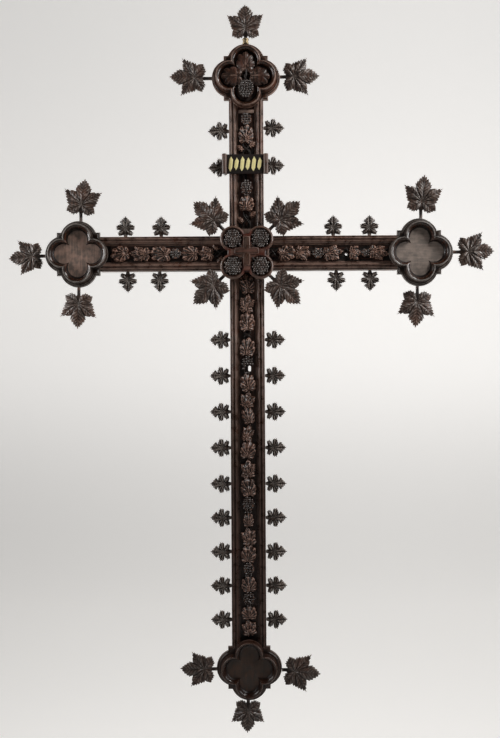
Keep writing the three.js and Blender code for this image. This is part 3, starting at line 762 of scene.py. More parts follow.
def leaf_blade(
    form, size, *, width=1.0, rings=14, step=2.4 * MM, edge, crown, swell, groove, rib, vein,
    curl=0.0, back=None, thick=None, seed=0, cup=0.0,
):
    """A carved leaf with its foot at the origin. edge and crown are the depths of its rim and its
    middle, and swell how far the two halves of a lobe roll up. groove is cut along the veins, or
    raised where it is below 0, and rib between the side veins. curl lifts the tip and cup the sides.
    thick makes a free leaf, and back seats its edge on the wood at that depth."""
    rim = leaf_rim(form, size, width, seed, step)
    count = len(rim)
    bm = bmesh.new()
    bmesh.ops.create_grid(bm, x_segments=count, y_segments=rings, size=0.5)
    heart = form.heart * size

    def surface(x, z, share):
        lift, mid, ribs = leaf_relief(form, x / width, z, size, vein)
        height = edge + (crown - edge) * (1 - share**2) ** 0.8 + swell * lift * (1 - 0.45 * share**4)
        height += -groove * mid * (1 - 0.7 * share**6) + rib * ribs * (1 - 0.4 * share**8)
        height += cup * abs(x) / (0.5 * size) * share
        height += curl * max(0.0, z / size) ** 2 + uneven((x, seed * 2.3, z), 70, 0.45 * MM)
        return height

    for vert in bm.verts:
        i = round((vert.co.x + 0.5) * count) % count
        share = round((vert.co.y + 0.5) * rings) / rings
        share = 1 - (1 - share) ** 1.15
        anchor = Vector((0, heart + (rim[i].y - heart) * form.spine))
        at = anchor.lerp(rim[i], share)
        vert.co = (at.x, -surface(at.x, at.y, share), at.y)
    bmesh.ops.remove_doubles(bm, verts=bm.verts, dist=2e-6)

    def inwards(share, drop=0.0, spine=form.spine):
        def move(co):
            anchor = heart + (co.z - heart) * spine
            return Vector((co.x * share, co.y + drop, anchor + (co.z - anchor) * share))
        return move

    if thick is None:
        moves = (
            lambda co: Vector((co.x * 0.97, -back, heart + (co.z - heart) * 0.97)),
            inwards(0.02, spine=0.0),
        )
    else:
        dome = crown - edge
        moves = (
            lambda co: co + Vector((0, thick, 0)), inwards(0.72, -0.25 * dome),
            inwards(0.45, -0.3 * dome), inwards(0.02),
        )
    edges = [e for e in bm.edges if e.is_boundary]
    for move in moves:
        ring, edges = next_ring(bm, edges)
        for vert in ring:
            vert.co = move(vert.co)
    middle = sum((v.co for v in ring), Vector()) / len(ring)
    bmesh.ops.pointmerge(bm, verts=ring, merge_co=middle)
    bmesh.ops.recalc_face_normals(bm, faces=bm.faces)
    return bm


def grapes(
    bm, x, depth, z, width, height, pitch, swell, *, taper=0.0, hang=1, skip=None, seed=0, finish=1
):
    """A bunch of grapes on a heap that is swell high, pitch apart. taper draws its foot together,
    hang is 1 where its foot points down and -1 where it points up, and skip leaves grapes out round
    a place, as (x, z, distance). finish is the number of the grapes' material."""
    rows = round((height - pitch) / (pitch * 0.90))
    for row in range(rows + 1):
        up = (row / max(rows, 1) - 0.5) * (height - pitch)
        low = 0.5 - hang * up / height
        wide = (width - pitch) * math.sqrt(max(0.0, 1 - (2 * up / height) ** 2))
        wide *= 1 - taper * low
        count = max(1, int(wide / pitch + 0.5) + (1 if row % 2 and wide > pitch else 0))
        for i in range(count):
            across = (i - (count - 1) / 2) * min(pitch, wide / max(count - 1, 1) + 0.1 * pitch)
            jitter = sway(Vector((across * 300, up * 300, seed * 1.9)))
            px, pz = x + across + 0.26 * pitch * jitter.x, z + up + 0.26 * pitch * jitter.z
            far = (2 * across / (width + pitch)) ** 2 + (2 * up / (height + pitch)) ** 2
            heap = swell * math.sqrt(max(0.0, 1 - far)) + 1.0 * MM * jitter.y
            if skip and math.hypot(px - skip[0], pz - skip[1]) < skip[2] + pitch * 0.4:
                continue
            radius = pitch * (0.50 + 0.05 * jitter.z)
            matrix = Matrix.Translation((px, -(depth + heap), pz)) @ Matrix.Diagonal((1, 1.05, 1, 1))
            made = bmesh.ops.create_icosphere(bm, subdivisions=2, radius=radius, matrix=matrix)["verts"]
            for face in {face for vert in made for face in vert.link_faces}:
                face.material_index = finish


# Built pieces


def bowed_line(points):
    """The points of a moulding's section, with each line bowed by its own amount."""
    line = []
    for (x0, d0, bow), (x1, d1, _) in zip(points, points[1:]):
        line.append((x0, d0))
        run = math.hypot(x1 - x0, d1 - d0)
        if bow and run:
            out = ((d1 - d0) / run, -(x1 - x0) / run)
            for k in (1, 2, 3):
                bulge = bow * math.sin(math.pi * k / 4)
                line.append((
                    x0 + (x1 - x0) * k / 4 + out[0] * bulge, d0 + (d1 - d0) * k / 4 + out[1] * bulge
                ))
    return line + [points[-1][:2]]


def beam_body(start, end, turn):
    """A moulded beam along an arm between two distances from the crossing."""
    half = [(x * MM, d * MM) for x, d in bowed_line(BEAM_SECTION)]
    section = half + [(-x, d) for x, d in reversed(half)]
    bm = bmesh.new()
    face = bm.faces.new([bm.verts.new((x, -d, start)) for x, d in section])
    made = bmesh.ops.extrude_face_region(bm, geom=[face])["geom"]
    moved = [v for v in made if isinstance(v, bmesh.types.BMVert)]
    bmesh.ops.translate(bm, verts=moved, vec=(0, 0, end - start))
    bmesh.ops.recalc_face_normals(bm, faces=bm.faces)
    bmesh.ops.transform(bm, matrix=put(turn=turn), verts=bm.verts)
    return bm


def screw_hole(hole):
    """The round-ended hole as a form to cut with, flared a little at the front."""
    x, z, width, height = (value * MM for value in hole)
    radius, straight = width / 2, (height - width) / 2

    def outline(play):
        reach = radius + play
        return [
            (x + reach * math.cos(a), z + reach * math.sin(a) + math.copysign(straight, math.sin(a)))
            for a in (math.radians(15 * i + 7.5) for i in range(24))
        ]

    narrow, front = outline(0.4 * MM), settings().trails.crown + 5 * MM
    return moulded([(narrow, -MM), (narrow, 15 * MM), (outline(1.2 * MM), front)])


def beam_end(side):
    _, reach, size = ARMS[side]
    return reach - settings().ends.barb * size - GAP


def beam(start, end, turn, low, high, hole):
    """A beam between two of its ends, halved at the crossing between two depths, with its hole."""
    seat = settings().beams.half + GAP
    body = beam_body(-beam_end(start), beam_end(end), turn)
    body = carve(body, block((-seat, low, -seat), (seat, high, seat)))
    return carve(body, screw_hole(hole))


class CROSS_OT_beams(bpy.types.Operator):
    """Runs the two moulded beams and halves them together"""

    bl_idname = "wall_cross.beams"
    bl_label = "Beams"

    def execute(self, context):
        sizes = settings().beams
        upright = beam("bottom", "top", 0, -MM, sizes.lap + GAP, SHAFT_HOLE)
        crossbar = beam("left", "right", 90, sizes.lap, sizes.face + MM, ARM_HOLE)
        for name, body, node, grain, seed in (
            ("upright_beam", upright, "upright", "Z", 0.3),
            ("cross_beam", crossbar, "crossbar", "X", 1.9),
        ):
            stained = oak(f"stained_oak_{node}", grain, red=0.66, wax_and_highlight=0.9, rough=0.31, seed=seed)
            finish_piece(name, body, [stained], [node], sharp=24)
        return {"FINISHED"}


def lobed(reach, radius, steps, half=None, corner=0.0, turn=0.0):
    """Four round lobes about the middle. half is the half angle of each lobe's arc, and corner the
    place of a square barb between two lobes."""
    points = []
    shared = half is None
    meet = (reach + math.sqrt(max(0.0, 2 * radius**2 - reach**2))) / 2
    sweep = math.atan2(meet, meet - reach) if shared else half
    for lobe in range(4):
        quarter = math.radians(turn) + lobe * math.pi / 2
        arc = [sweep * (2 * i / steps - 1) for i in range(1 if shared else 0, steps + 1)]
        run = [(reach + radius * math.cos(angle), radius * math.sin(angle)) for angle in arc]
        if corner:
            run.append((corner, corner))
        cos, sin = math.cos(quarter), math.sin(quarter)
        points += [(x * cos - z * sin, x * sin + z * cos) for x, z in run]
    return points


def end_board(side):
    """The barbed board of an end, with the block that carries it off the wall."""
    sizes, size = settings().ends, ARMS[side][2]
    middle, barb = sizes.board_reach * size, sizes.barb * size
    back, face = sizes.board_back, sizes.board_face
    board = []
    for inset, depth in (
        (1.2, back), (0, back + MM), (0, face - 3.4 * MM), (0.9, face - 1.5 * MM),
        (2.2, face - 0.9 * MM), (2.9, face - 1.5 * MM), (3.8, face - 1.3 * MM),
        (4.8, face - 0.2 * MM), (6.2, face),
    ):
        radius, corner = sizes.board_radius * size - inset * MM, barb - inset * MM
        half = math.acos(min(1.0, (corner - middle) / radius))
        board.append((lobed(middle, radius, 20, half, corner), depth))
    radius = sizes.board_radius * size - sizes.backing
    backing = [
        (lobed(middle, radius - inset * MM, 16), depth)
        for inset, depth in ((1, 0), (0, MM), (0, back + MM))
    ]
    return carve(moulded(backing), moulded(board), "UNION")


def end_tray(side):
    """The hollowed quatrefoil of an end, its floor in rings so that it can be made uneven."""
    sizes, scale = settings().ends, TRAY_SIZE[side]
    tray = []
    for reach, radius, below in TRAY_SECTION:
        wide = (sizes.tray_radius + (radius - TRAY_RIM) * MM) * scale
        tray.append((lobed(reach * scale * MM, wide, 16), sizes.tray_face - below * MM))
    floor = tray[-1][0]
    for share in (0.84, 0.68, 0.52, 0.36, 0.2, 0.06):
        tray.append(([(x * share, z * share) for x, z in floor], sizes.floor))
    return moulded(tray)


def quatrefoil_end(side):
    """A barbed board with a raised tray on it, its beam coming in from below. Its floor has the
    second material and the wall of its well the third."""
    sizes = settings().ends
    turn, reach, size = ARMS[side]
    solid = carve(end_board(side), end_tray(side), "UNION")
    beam_top = settings().beams.face + GAP
    solid = carve(solid, block((-0.1, -MM, -0.15), (0.1, beam_top, -sizes.barb * size)))
    for face in solid.faces:
        places = [(-v.co.y, math.hypot(v.co.x, v.co.z)) for v in face.verts]
        flat = all(abs(depth - sizes.floor) < 0.35 * MM and away < 66 * MM for depth, away in places)
        low, high = sizes.floor + 0.3 * MM, sizes.tray_face - 2.2 * MM
        wall = all(low < depth < high and away < 74 * MM for depth, away in places)
        face.material_index = 1 if flat and abs(face.normal.y) > 0.9 else 2 if wall else 0
    for vert in solid.verts:
        away = math.hypot(vert.co.x, vert.co.z)
        if abs(-vert.co.y - sizes.floor) < 0.05 * MM and away < 60 * MM:
            vert.co.y += uneven((vert.co.x, reach, vert.co.z), 45, 0.5 * MM)
    x, z = along(turn, reach)
    bmesh.ops.transform(solid, matrix=put(x, 0, z, turn), verts=solid.verts)
    return solid


class CROSS_OT_ends(bpy.types.Operator):
    """Makes the four quatrefoil ends, each a barbed board with a raised tray"""

    bl_idname = "wall_cross.ends"
    bl_label = "Quatrefoil ends"

    def execute(self, context):
        floors = {
            "top": oak(
                "top_tray_floor", dark=(0.040, 0.030, 0.025), red=0.2, wax_and_highlight=0.4, rough=0.5, seed=2.0,
            ),
            "right": oak(
                "right_tray_floor", "X", dark=tuple(settings().colours.floor), warm=(0.33, 0.26, 0.22),
                red=0.3, wax_and_highlight=0.3, rough=0.55, blotch=0.55, seed=4.0,
            ),
            "bottom": oak(
                "bottom_tray_floor", dark=(0.050, 0.034, 0.026), warm=(0.085, 0.040, 0.022),
                red=0.5, wax_and_highlight=0.5, rough=0.36, blotch=0.6, foot=0.35, seed=6.0,
            ),
            "left": oak(
                "left_tray_floor", dark=(0.200, 0.155, 0.130), warm=(0.36, 0.23, 0.18), red=0.5,
                wax_and_highlight=0.3, rough=0.5, blotch=0.7, seed=8.0,
            ),
        }
        for side in ARMS:
            greyer = {"warm": (0.060, 0.038, 0.028), "worn_and_highlighted": (0.27, 0.24, 0.22)}
            body = oak(
                f"stained_oak_{side}_end", red=0.50, wax_and_highlight=0.9, rough=0.30, seed=len(side) * 1.3,
                **(greyer if side in ("left", "right") else {}),
            )
            wall = oak(
                f"varnished_{side}_well", red=0.3, wax_and_highlight=0.4, rough=0.19, seed=len(side) * 2.1
            )
            finish_piece(
                f"quatrefoil_{side}_end", quatrefoil_end(side), [body, floors[side], wall],
                [f"quatrefoil_{side}"], sharp=30,
            )
        return {"FINISHED"}


class CROSS_OT_tray_carving(bpy.types.Operator):
    """Carves the three leaves and the bunch of grapes in the top tray"""

    bl_idname = "wall_cross.tray_carving"
    bl_label = "Top tray carving"

    def execute(self, context):
        middle = ARMS["top"][1]
        bunch = middle - 33.5 * MM
        floor = settings().ends.floor + GAP
        bm = bmesh.new()
        for seed, turn in enumerate((-90, 0, 90)):
            leaf = leaf_blade(
                TRAIL_LEAF, 57 * MM, width=0.86, rings=18, step=2 * MM, edge=floor + 4 * MM,
                crown=floor + 10 * MM, swell=2.6 * MM, groove=-0.6 * MM, rib=-1.3 * MM,
                vein=1.8 * MM, back=floor + 0.5 * MM, seed=20 + seed,
            )
            merge(bm, leaf, put(z=middle) @ put(turn=turn) @ put(z=7.5 * MM))
        grapes(
            bm, 0, floor + 4.5 * MM, bunch, 45 * MM, 46 * MM, 6.6 * MM, 7.4 * MM, taper=0.1, seed=5
        )
        merge(bm, moulded([
            (circle(radius * MM, 24, 0, bunch), floor + height * MM)
            for radius, height in ((20.5, 0), (18.5, 5), (11, 9))
        ]))
        twig = [
            (
                1.6 * MM * math.sin(1.3 * i), floor + (8 + 1.6 * math.sin(i * 0.9)) * MM,
                middle + (16 - 5.2 * i) * MM,
            )
            for i in range(7)
        ]
        tube(bm, twig, [radius * MM for radius in (2.8, 2.6, 2.4, 3.2, 2.5, 2.4, 2.2)])
        for side in (-1, 1):
            shoot = [
                (side * r * MM, floor + 5 * MM, middle + (3.0 + 0.02 * r * r) * MM)
                for r in (1, 5, 9, 14)
            ]
            tube(bm, shoot, [radius * MM for radius in (2.4, 2.1, 1.9, 1.6)])
        carved = oak("carved_oak_tray", warm=(0.13, 0.055, 0.038), red=0.55, rough=0.34, seed=3.3)
        finish_piece(
            "top_tray_carving", bm, [carved, grape_oak("tray_grapes")],
            ["quatrefoil_top_carving"], sharp=60,
        )
        return {"FINISHED"}


def boss_outline(inset):
    sizes = settings().boss
    radius = sizes.radius - inset
    half = 0.75 * math.pi - math.asin((sizes.neck - inset - sizes.lobe) / radius)
    return lobed(sizes.lobe * math.sqrt(2), radius, 22, half, turn=45)


def boss_body(places):
    """The boss with a dish hollowed out at each place. Its straight sides have the second material,
    as the bars of its small cross do."""
    back, face = settings().beams.face + GAP, settings().boss.face
    body = moulded([(boss_outline(inset * MM), depth) for inset, depth in (
        (0, back), (0, face - 5 * MM), (0.5, face - 3.2 * MM), (1.5, face - 2.2 * MM),
        (2.0, face - 1.9 * MM), (2.4, face - 0.9 * MM), (3.4, face - 0.2 * MM), (4.2, face),
    )])
    for x, z in places:
        body = carve(body, moulded([
            (circle(radius * MM, 40, x, z), depth * MM + face - BOSS_FACE * MM)
            for radius, depth in DISH_SECTION
        ]))
    for plane in body.faces:
        middle = plane.calc_center_median()
        straight = min(abs(middle.x), abs(middle.z)) < 13 * MM and middle.length > 52 * MM
        plane.material_index = int(straight)
    return body


def dish_grapes(body, x, z, number):
    """A bunch of grapes on its heap in a dish, with a stalk towards the middle of the boss."""
    sizes = settings().boss
    grapes(
        body, x, sizes.face - 6.0 * MM, z, 47 * MM, 46 * MM, sizes.grape, 5.6 * MM,
        hang=-1 if z > 0 else 1, seed=number, finish=2,
    )
    merge(body, moulded([
        (circle(radius * MM, 24, x, z), sizes.dish_floor + depth * MM)
        for radius, depth in ((20, -0.5), (19.5, 2), (16, 5.5), (9, 8))
    ]))
    inward = Vector((-x, 0, -z)).normalized()
    stalk = [
        (
            x + inward.x * r * MM, sizes.face + (1.2 - 0.01 * (r - 19) ** 2) * MM,
            z + inward.z * r * MM,
        )
        for r in (16, 20, 24, 28, 31)
    ]
    tube(body, stalk, [radius * MM for radius in (1.9, 1.8, 1.9, 2.1, 2.3)])


def boss_bar(half, rise, top, finish):
    """A bar of the boss's small cross, by half its width, half its height and the height of its
    front in mm, a little above the middle of the boss."""
    face, above = settings().boss.face, 3 * MM
    bar = []
    for inset, depth in (
        (0, -1), (0, 1.2), (0.8, 2.2), (2.2, 2.6), (3.2, 2.2), (4.0, 2.5), (5.6, top),
    ):
        w, h = (half - inset) * MM, (rise - inset) * MM
        corners = [(-w, above - h), (w, above - h), (w, above + h), (-w, above + h)]
        bar.append((corners, face + depth * MM))
    form = moulded(bar)
    for plane in form.faces:
        plane.material_index = finish
    return form


class CROSS_OT_boss(bpy.types.Operator):
    """Carves the boss over the crossing, with its four dishes of grapes and small cross"""

    bl_idname = "wall_cross.boss"
    bl_label = "Crossing boss"

    def execute(self, context):
        lobe = settings().boss.lobe
        places = [(x * lobe, z * lobe) for x in (-1, 1) for z in (-1, 1)]
        body = boss_body(places)
        for number, (x, z) in enumerate(places):
            dish_grapes(body, x, z, number)
        merge(body, boss_bar(8.5, 37.5, 2.8, 0))
        merge(body, boss_bar(31, 8.4, 3.0, 1))
        carved = oak("carved_oak_boss", red=0.26, wax_and_highlight=0.75, rough=0.30, seed=5.1)
        bar = oak(
            "carved_oak_boss_bar", "X", warm=(0.12, 0.030, 0.018), red=0.95, wax_and_highlight=0.4, rough=0.36,
            seed=5.9,
        )
        finish_piece(
            "boss_with_grapes", body, [carved, bar, grape_oak("boss_grapes")],
            ["crossing_boss"], sharp=50,
        )
        return {"FINISHED"}


def trail_bed(start, end, hole):
    """The gouged ground of a trail, with the hole cut through it where there is one."""
    half, back = 21 * MM, settings().beams.floor + GAP
    bm = bmesh.new()
    run = end - start
    middle = Matrix.Translation((0, 0, (start + end) / 2)) @ Matrix.Rotation(math.pi / 2, 4, "X")
    bmesh.ops.create_grid(
        bm, x_segments=16, y_segments=max(2, round(run / (2.6 * MM))), size=0.5,
        matrix=middle @ Matrix.Diagonal((2 * half, run, 1, 1)),
    )
    low = settings().trails.bed - 0.5 * MM
    for vert in bm.verts:
        vert.co.y = -(low + uneven((vert.co.x, start, vert.co.z), 160, 0.7 * MM))
    rim, edges = next_ring(bm, [e for e in bm.edges if e.is_boundary])
    for vert in rim:
        vert.co.y = -back
    bmesh.ops.contextual_create(bm, geom=edges)
    bmesh.ops.recalc_face_normals(bm, faces=bm.faces)
    return carve(bm, hole) if hole else bm


def trail_leaf(kind, room, number, side, seed):
    """A leaf for a length of the trail, every other one a sprig, and its lean in degrees."""
    sizes = settings().trails
    bed = sizes.bed
    wide = {"leaf": sizes.leaf, "curl": CURL_WIDTH * MM, "bud": BUD_WIDTH * MM}[kind]
    lean = 11 * math.sin(seed * 2.1)
    if kind == "curl":
        lean = 16 if number % 2 else -14
    sprig = number % 2 == (side == "bottom")
    leaf = leaf_blade(
        SPRIG_LEAF if sprig else TRAIL_LEAF, room, width=wide / room, rings=14, step=2.0 * MM,
        edge=bed + 4.0 * MM, crown=sizes.crown - 4.2 * MM, swell=(3.4 if sprig else 1.4) * MM,
        groove=-0.5 * MM, rib=(-1.6 if sprig else -3.0) * MM, vein=1.6 * MM, back=bed - 0.8 * MM,
        seed=seed, cup=(-4.0 if kind == "curl" else 0.6) * MM,
    )
    for vert in leaf.verts:
        if vert.co.y < -bed - 2 * MM:
            vert.co.y += uneven((vert.co.x, seed, vert.co.z), 80, 2.6 * MM)
    return leaf, lean


def trail_twigs(bm, middle, long, seed):
    """Two twigs that cross, and a bud beside each where there is room."""
    bed = settings().trails.bed
    for way in (-1, 1):
        path = []
        for i in range(9):
            s = i / 8 - 0.5
            path.append((
                way * (15 * s + 3.5 * math.sin(6 * s)) * MM, bed + (3.0 + 2.4 * math.cos(3 * s)) * MM,
                middle + s * (long - 2) * MM,
            ))
        tube(bm, path, [(2.2 - 0.9 * abs(i / 4 - 1)) * MM for i in range(9)])
        if long > 25:
            bud = leaf_blade(
                TRAIL_LEAF, 21 * MM, width=0.62, rings=7, step=2.2 * MM, edge=bed + 3 * MM,
                crown=bed + 7 * MM, swell=1.2 * MM, groove=-0.8 * MM, rib=0.8 * MM, vein=1.1 * MM,
                back=bed - 0.8 * MM, seed=seed + way,
            )
            merge(bm, bud, put(way * 8.5 * MM, 0, middle + way * 0.16 * long * MM, turn=way * 48))


def running_vine(bm, side, end, gap):
    """The vine that winds along a trail and steps aside at the screw hole."""
    sizes = settings().trails
    run = (end - TRAIL_START) * MM
    steps = max(8, round(run / (5 * MM)))
    path, radii = [], []
    for i in range(steps + 1):
        z = TRAIL_START * MM + run * (0.004 + 0.992 * i / steps)
        x = 9.5 * MM * math.sin(z / (15 * MM) + len(side))
        if gap and math.hypot(x - gap[0], z - gap[1]) < gap[2] + 4 * MM:
            x += math.copysign(9 * MM, x - gap[0])
        path.append((max(-17 * MM, min(17 * MM, x)), sizes.bed + 1.4 * MM, z))
        radii.append(sizes.stem * (1 + 0.15 * math.sin(i * 1.7)))
    tube(bm, path, radii, sides=8)


def vine_trail(side):
    """A trail along its arm: a vine that winds over the ground, with leaves and grapes on it. Its
    materials are the carving, the plain stops, the ground, near black for painted shade and some dirt
    between the leaves, and the grapes."""
    sizes = settings().trails
    bed = sizes.bed
    end, outwards, motifs = TRAILS[side]
    turn = ARMS[side][0]
    hole = gap = None
    if side in TRAIL_HOLES:
        screw, clear = TRAIL_HOLES[side]
        hole = screw_hole(screw)
        bmesh.ops.transform(hole, matrix=put(turn=-turn), verts=hole.verts)
        x, z = (v * MM for v in screw[:2])
        gap = (-x, -z, clear * MM) if side == "bottom" else (-z, x, clear * MM)
    bm = trail_bed(TRAIL_START * MM, end * MM, hole)
    for face in bm.faces:
        face.material_index = 2
    at = TRAIL_START
    for number, (kind, long) in enumerate(motifs, 1):
        seed = number + 31 * len(side)
        middle, room = (at + long / 2) * MM, (long + 4) * MM
        at += long
        if kind in ("leaf", "curl", "bud"):
            leaf, lean = trail_leaf(kind, room, number, side, seed)
            lean += 0 if outwards else 180
            merge(bm, leaf, put(z=middle, turn=lean) @ put(z=-room / 2))
        elif kind == "grapes":
            room = (long + 1) * MM
            width = min(34 * MM, room * 1.05)
            grapes(
                bm, 0, bed + 3 * MM, middle, width, room, sizes.grape, 6.5 * MM, taper=0.35,
                hang=1 if outwards else -1, skip=gap, seed=seed, finish=3,
            )
            if not gap or abs(middle - gap[1]) > 30 * MM:
                merge(bm, moulded([
                    (circle(width * share, 20, 0, middle, room / width), bed + height * MM)
                    for share, height in ((0.42, -0.8), (0.38, 3), (0.22, 7))
                ]))
        elif kind == "twigs":
            trail_twigs(bm, middle, long, seed)
        elif kind == "stop":
            low, high = middle - long / 2 * MM, middle + long / 2 * MM
            stop = block(
                (-20.5 * MM, bed - 0.8 * MM, low), (20.5 * MM, bed + 5.7 * MM, high), 1.4 * MM
            )
            for face in stop.faces:
                face.material_index = 1
            merge(bm, stop)
    running_vine(bm, side, end, gap)
    bmesh.ops.transform(bm, matrix=put(turn=turn), verts=bm.verts)
    return bm


class CROSS_OT_trails(bpy.types.Operator):
    """Carves the vine trails that lie in the channels of the beams"""

    bl_idname = "wall_cross.trails"
    bl_label = "Vine trails"

    def execute(self, context):
        for side in TRAILS:
            grain = "Z" if side in ("top", "bottom") else "X"
            # Light ridges on the carving: polish wear with a painted highlight.
            carved = oak(
                f"carved_oak_{side}_trail", grain, dark=(0.020, 0.013, 0.010),
                warm=(0.13, 0.058, 0.036), worn_and_highlighted=(0.56, 0.33, 0.25), red=0.66, rough=0.34, foot=0.40,
                seed=1.1 * len(side),
            )
            stop = oak(
                f"stop_oak_{side}", grain, dark=(0.14, 0.10, 0.085), warm=(0.40, 0.27, 0.21), red=0.6,
                wax_and_highlight=0.5, rough=0.5, seed=9.0,
            )
            # Near-black ground: painted shade between the leaves, with some dirt.
            ground = oak(
                f"shade_painted_ground_{side}", grain, dark=(0.006, 0.0045, 0.004), red=0.1, wax_and_highlight=0.2,
                rough=0.5, seed=4.4,
            )
            berries = grape_oak(f"grapes_{side}")
            finish_piece(
                f"vine_{side}_trail", vine_trail(side), [carved, stop, ground, berries],
                [f"vine_trail_{side}"], sharp=60,
            )
        return {"FINISHED"}


def title_board():
    """The board with a roll at each end, and the line of the rolled end on its top."""
    sizes = settings().title
    back = settings().beams.face + GAP
    half, tall = sizes.width / 2, sizes.height / 2
    board = block((-half, back, -tall), (half, sizes.face, tall), 0.8 * MM)
    for side in (-1, 1):
        roll = bmesh.new()
        bmesh.ops.create_cone(
            roll, cap_ends=True, segments=28, radius1=sizes.roll, radius2=sizes.roll,
            depth=sizes.height + 2 * MM,
            matrix=Matrix.Translation((side * half, -(back + sizes.roll), 0)),
        )
        ends = [e for e in roll.edges if abs(e.verts[0].co.z - e.verts[1].co.z) < 1e-6]
        bmesh.ops.bevel(
            roll, geom=ends, offset=0.9 * MM, affect="EDGES", segments=3, profile=0.5, material=-1
        )
        board = carve(board, roll, "UNION")
        scroll = []
        for i in range(15):
            angle = math.radians(26 * i)
            r = sizes.roll * (0.75 - 0.04 * i)
            scroll.append((
                side * (half + r * math.cos(angle)), back + sizes.roll + r * math.sin(angle),
                tall + 0.6 * MM,
            ))
        tube(board, scroll, [0.35 * MM] * len(scroll), sides=5)
    return board


def gilt_strokes():
    """A row of slanting strokes, a taller and a shorter one by turns, pointed at both ends."""
    sizes = settings().title
    gilt = bmesh.new()
    slant = 1.2 * MM
    for i in range(sizes.strokes):
        x = (i - (sizes.strokes - 1) / 2) * sizes.pitch
        half_height = (16.5 if i % 2 else 19.5) * MM
        sections = []
        for inset, lift in ((0, -0.4), (0, 0.4), (0.5, 0.8), (1.4, 1.0)):
            wide, rise = sizes.stroke - 2 * inset * MM, half_height - 1.6 * inset * MM
            point = 0.9 * wide
            outline = [
                (slant, rise), (slant - wide / 2, rise - point), (-slant - wide / 2, point - rise),
                (-slant, -rise), (wide / 2 - slant, point - rise), (slant + wide / 2, rise - point),
            ]
            sections.append(([(x + px, pz) for px, pz in outline], sizes.face + lift * MM))
        merge(gilt, moulded(sections))
    return gilt


class CROSS_OT_title(bpy.types.Operator):
    """Makes the title board with its rolled ends and row of gilt strokes"""

    bl_idname = "wall_cross.title"
    bl_label = "Title board"

    def execute(self, context):
        colours = settings().colours
        x, z = TITLE_PLACE
        place = put(x * MM, 0, z * MM)
        board, gilt = title_board(), gilt_strokes()
        for form in (board, gilt):
            bmesh.ops.transform(form, matrix=place, verts=form.verts)
        black = oak(
            "black_oak_title", "X", dark=[0.45 * c for c in colours.dark], red=0.12, wax_and_highlight=0.5,
            rough=0.42, seed=7.7,
        )
        gilding = metal("gilding", colours.gilt, 0.42, dirt=0.16, metallic=0.0)
        finish_piece("title_board", board, [black], ["title_scroll"], sharp=30)
        finish_piece("title_gilt_strokes", gilt, [gilding])
        return {"FINISHED"}


class CROSS_OT_collar(bpy.types.Operator):
    """Turns the brass collar under the top leaf"""

    bl_idname = "wall_cross.collar"
    bl_label = "Brass collar"

    def execute(self, context):
        low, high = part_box("brass_collar")
        middle = (low + high) / 2
        tall = high.z - low.z
        bm = bmesh.new()
        line = [bm.verts.new((r * MM, 0, share * tall)) for r, share in COLLAR_SECTION]
        edges = [bm.edges.new(pair) for pair in zip(line, line[1:])]
        bmesh.ops.spin(
            bm, geom=line + edges, cent=(0, 0, 0), axis=(0, 0, 1), angle=2 * math.pi, steps=36,
            use_merge=True, use_duplicate=False,
        )
        bmesh.ops.remove_doubles(bm, verts=bm.verts, dist=1e-6)
        bmesh.ops.recalc_face_normals(bm, faces=bm.faces)
        bmesh.ops.translate(bm, verts=bm.verts, vec=(middle.x, middle.y, low.z))
        brass = metal("old_brass", settings().colours.brass, 0.38)
        finish_piece(
            "turned_brass_collar", bm, [brass], ["brass_collar"], sharp=40,
        )
        return {"FINISHED"}


def large_leaf(stem, long, lean, curl, seed):
    """A vine leaf on its round stem, the stem's foot at the origin."""
    sizes = settings().leaves
    foot = stem * MM
    size = long * MM
    leaf = leaf_blade(
        VINE_LEAF, size, rings=26, edge=sizes.thick / 2 - 0.6 * MM, crown=sizes.crown - MM,
        swell=5.2 * MM, groove=-0.5 * MM, rib=1.2 * MM, vein=1.9 * MM, curl=curl * MM,
        thick=sizes.thick, seed=seed, cup=(4.5 if seed % 3 else -3.5) * MM,
    )
    for vert in leaf.verts:
        fade = min(1, vert.co.z / (0.3 * size))
        vert.co.y += uneven((vert.co.x, 0.4 * seed, vert.co.z), 24, 3.8 * MM) * fade
    bm = bmesh.new()
    merge(bm, leaf, put(z=foot, turn=lean))
    tilt = math.radians(lean)
    path = [(0, 0, -0.2 * MM), (0, 0, foot * 0.5), (0, 0.4 * MM, foot)]
    for share, lift in ((0.06, 1.4), (0.13, 2.6), (0.20, 3.0), (0.27, 2.2)):
        path.append((share * size * math.sin(tilt), lift * MM, foot + share * size * math.cos(tilt)))
    radii = [sizes.stem * s for s in (1.0, 0.96, 1.0, 0.8, 0.6, 0.45, 0.25)]
    tube(bm, path, radii, sides=12)
    return bm


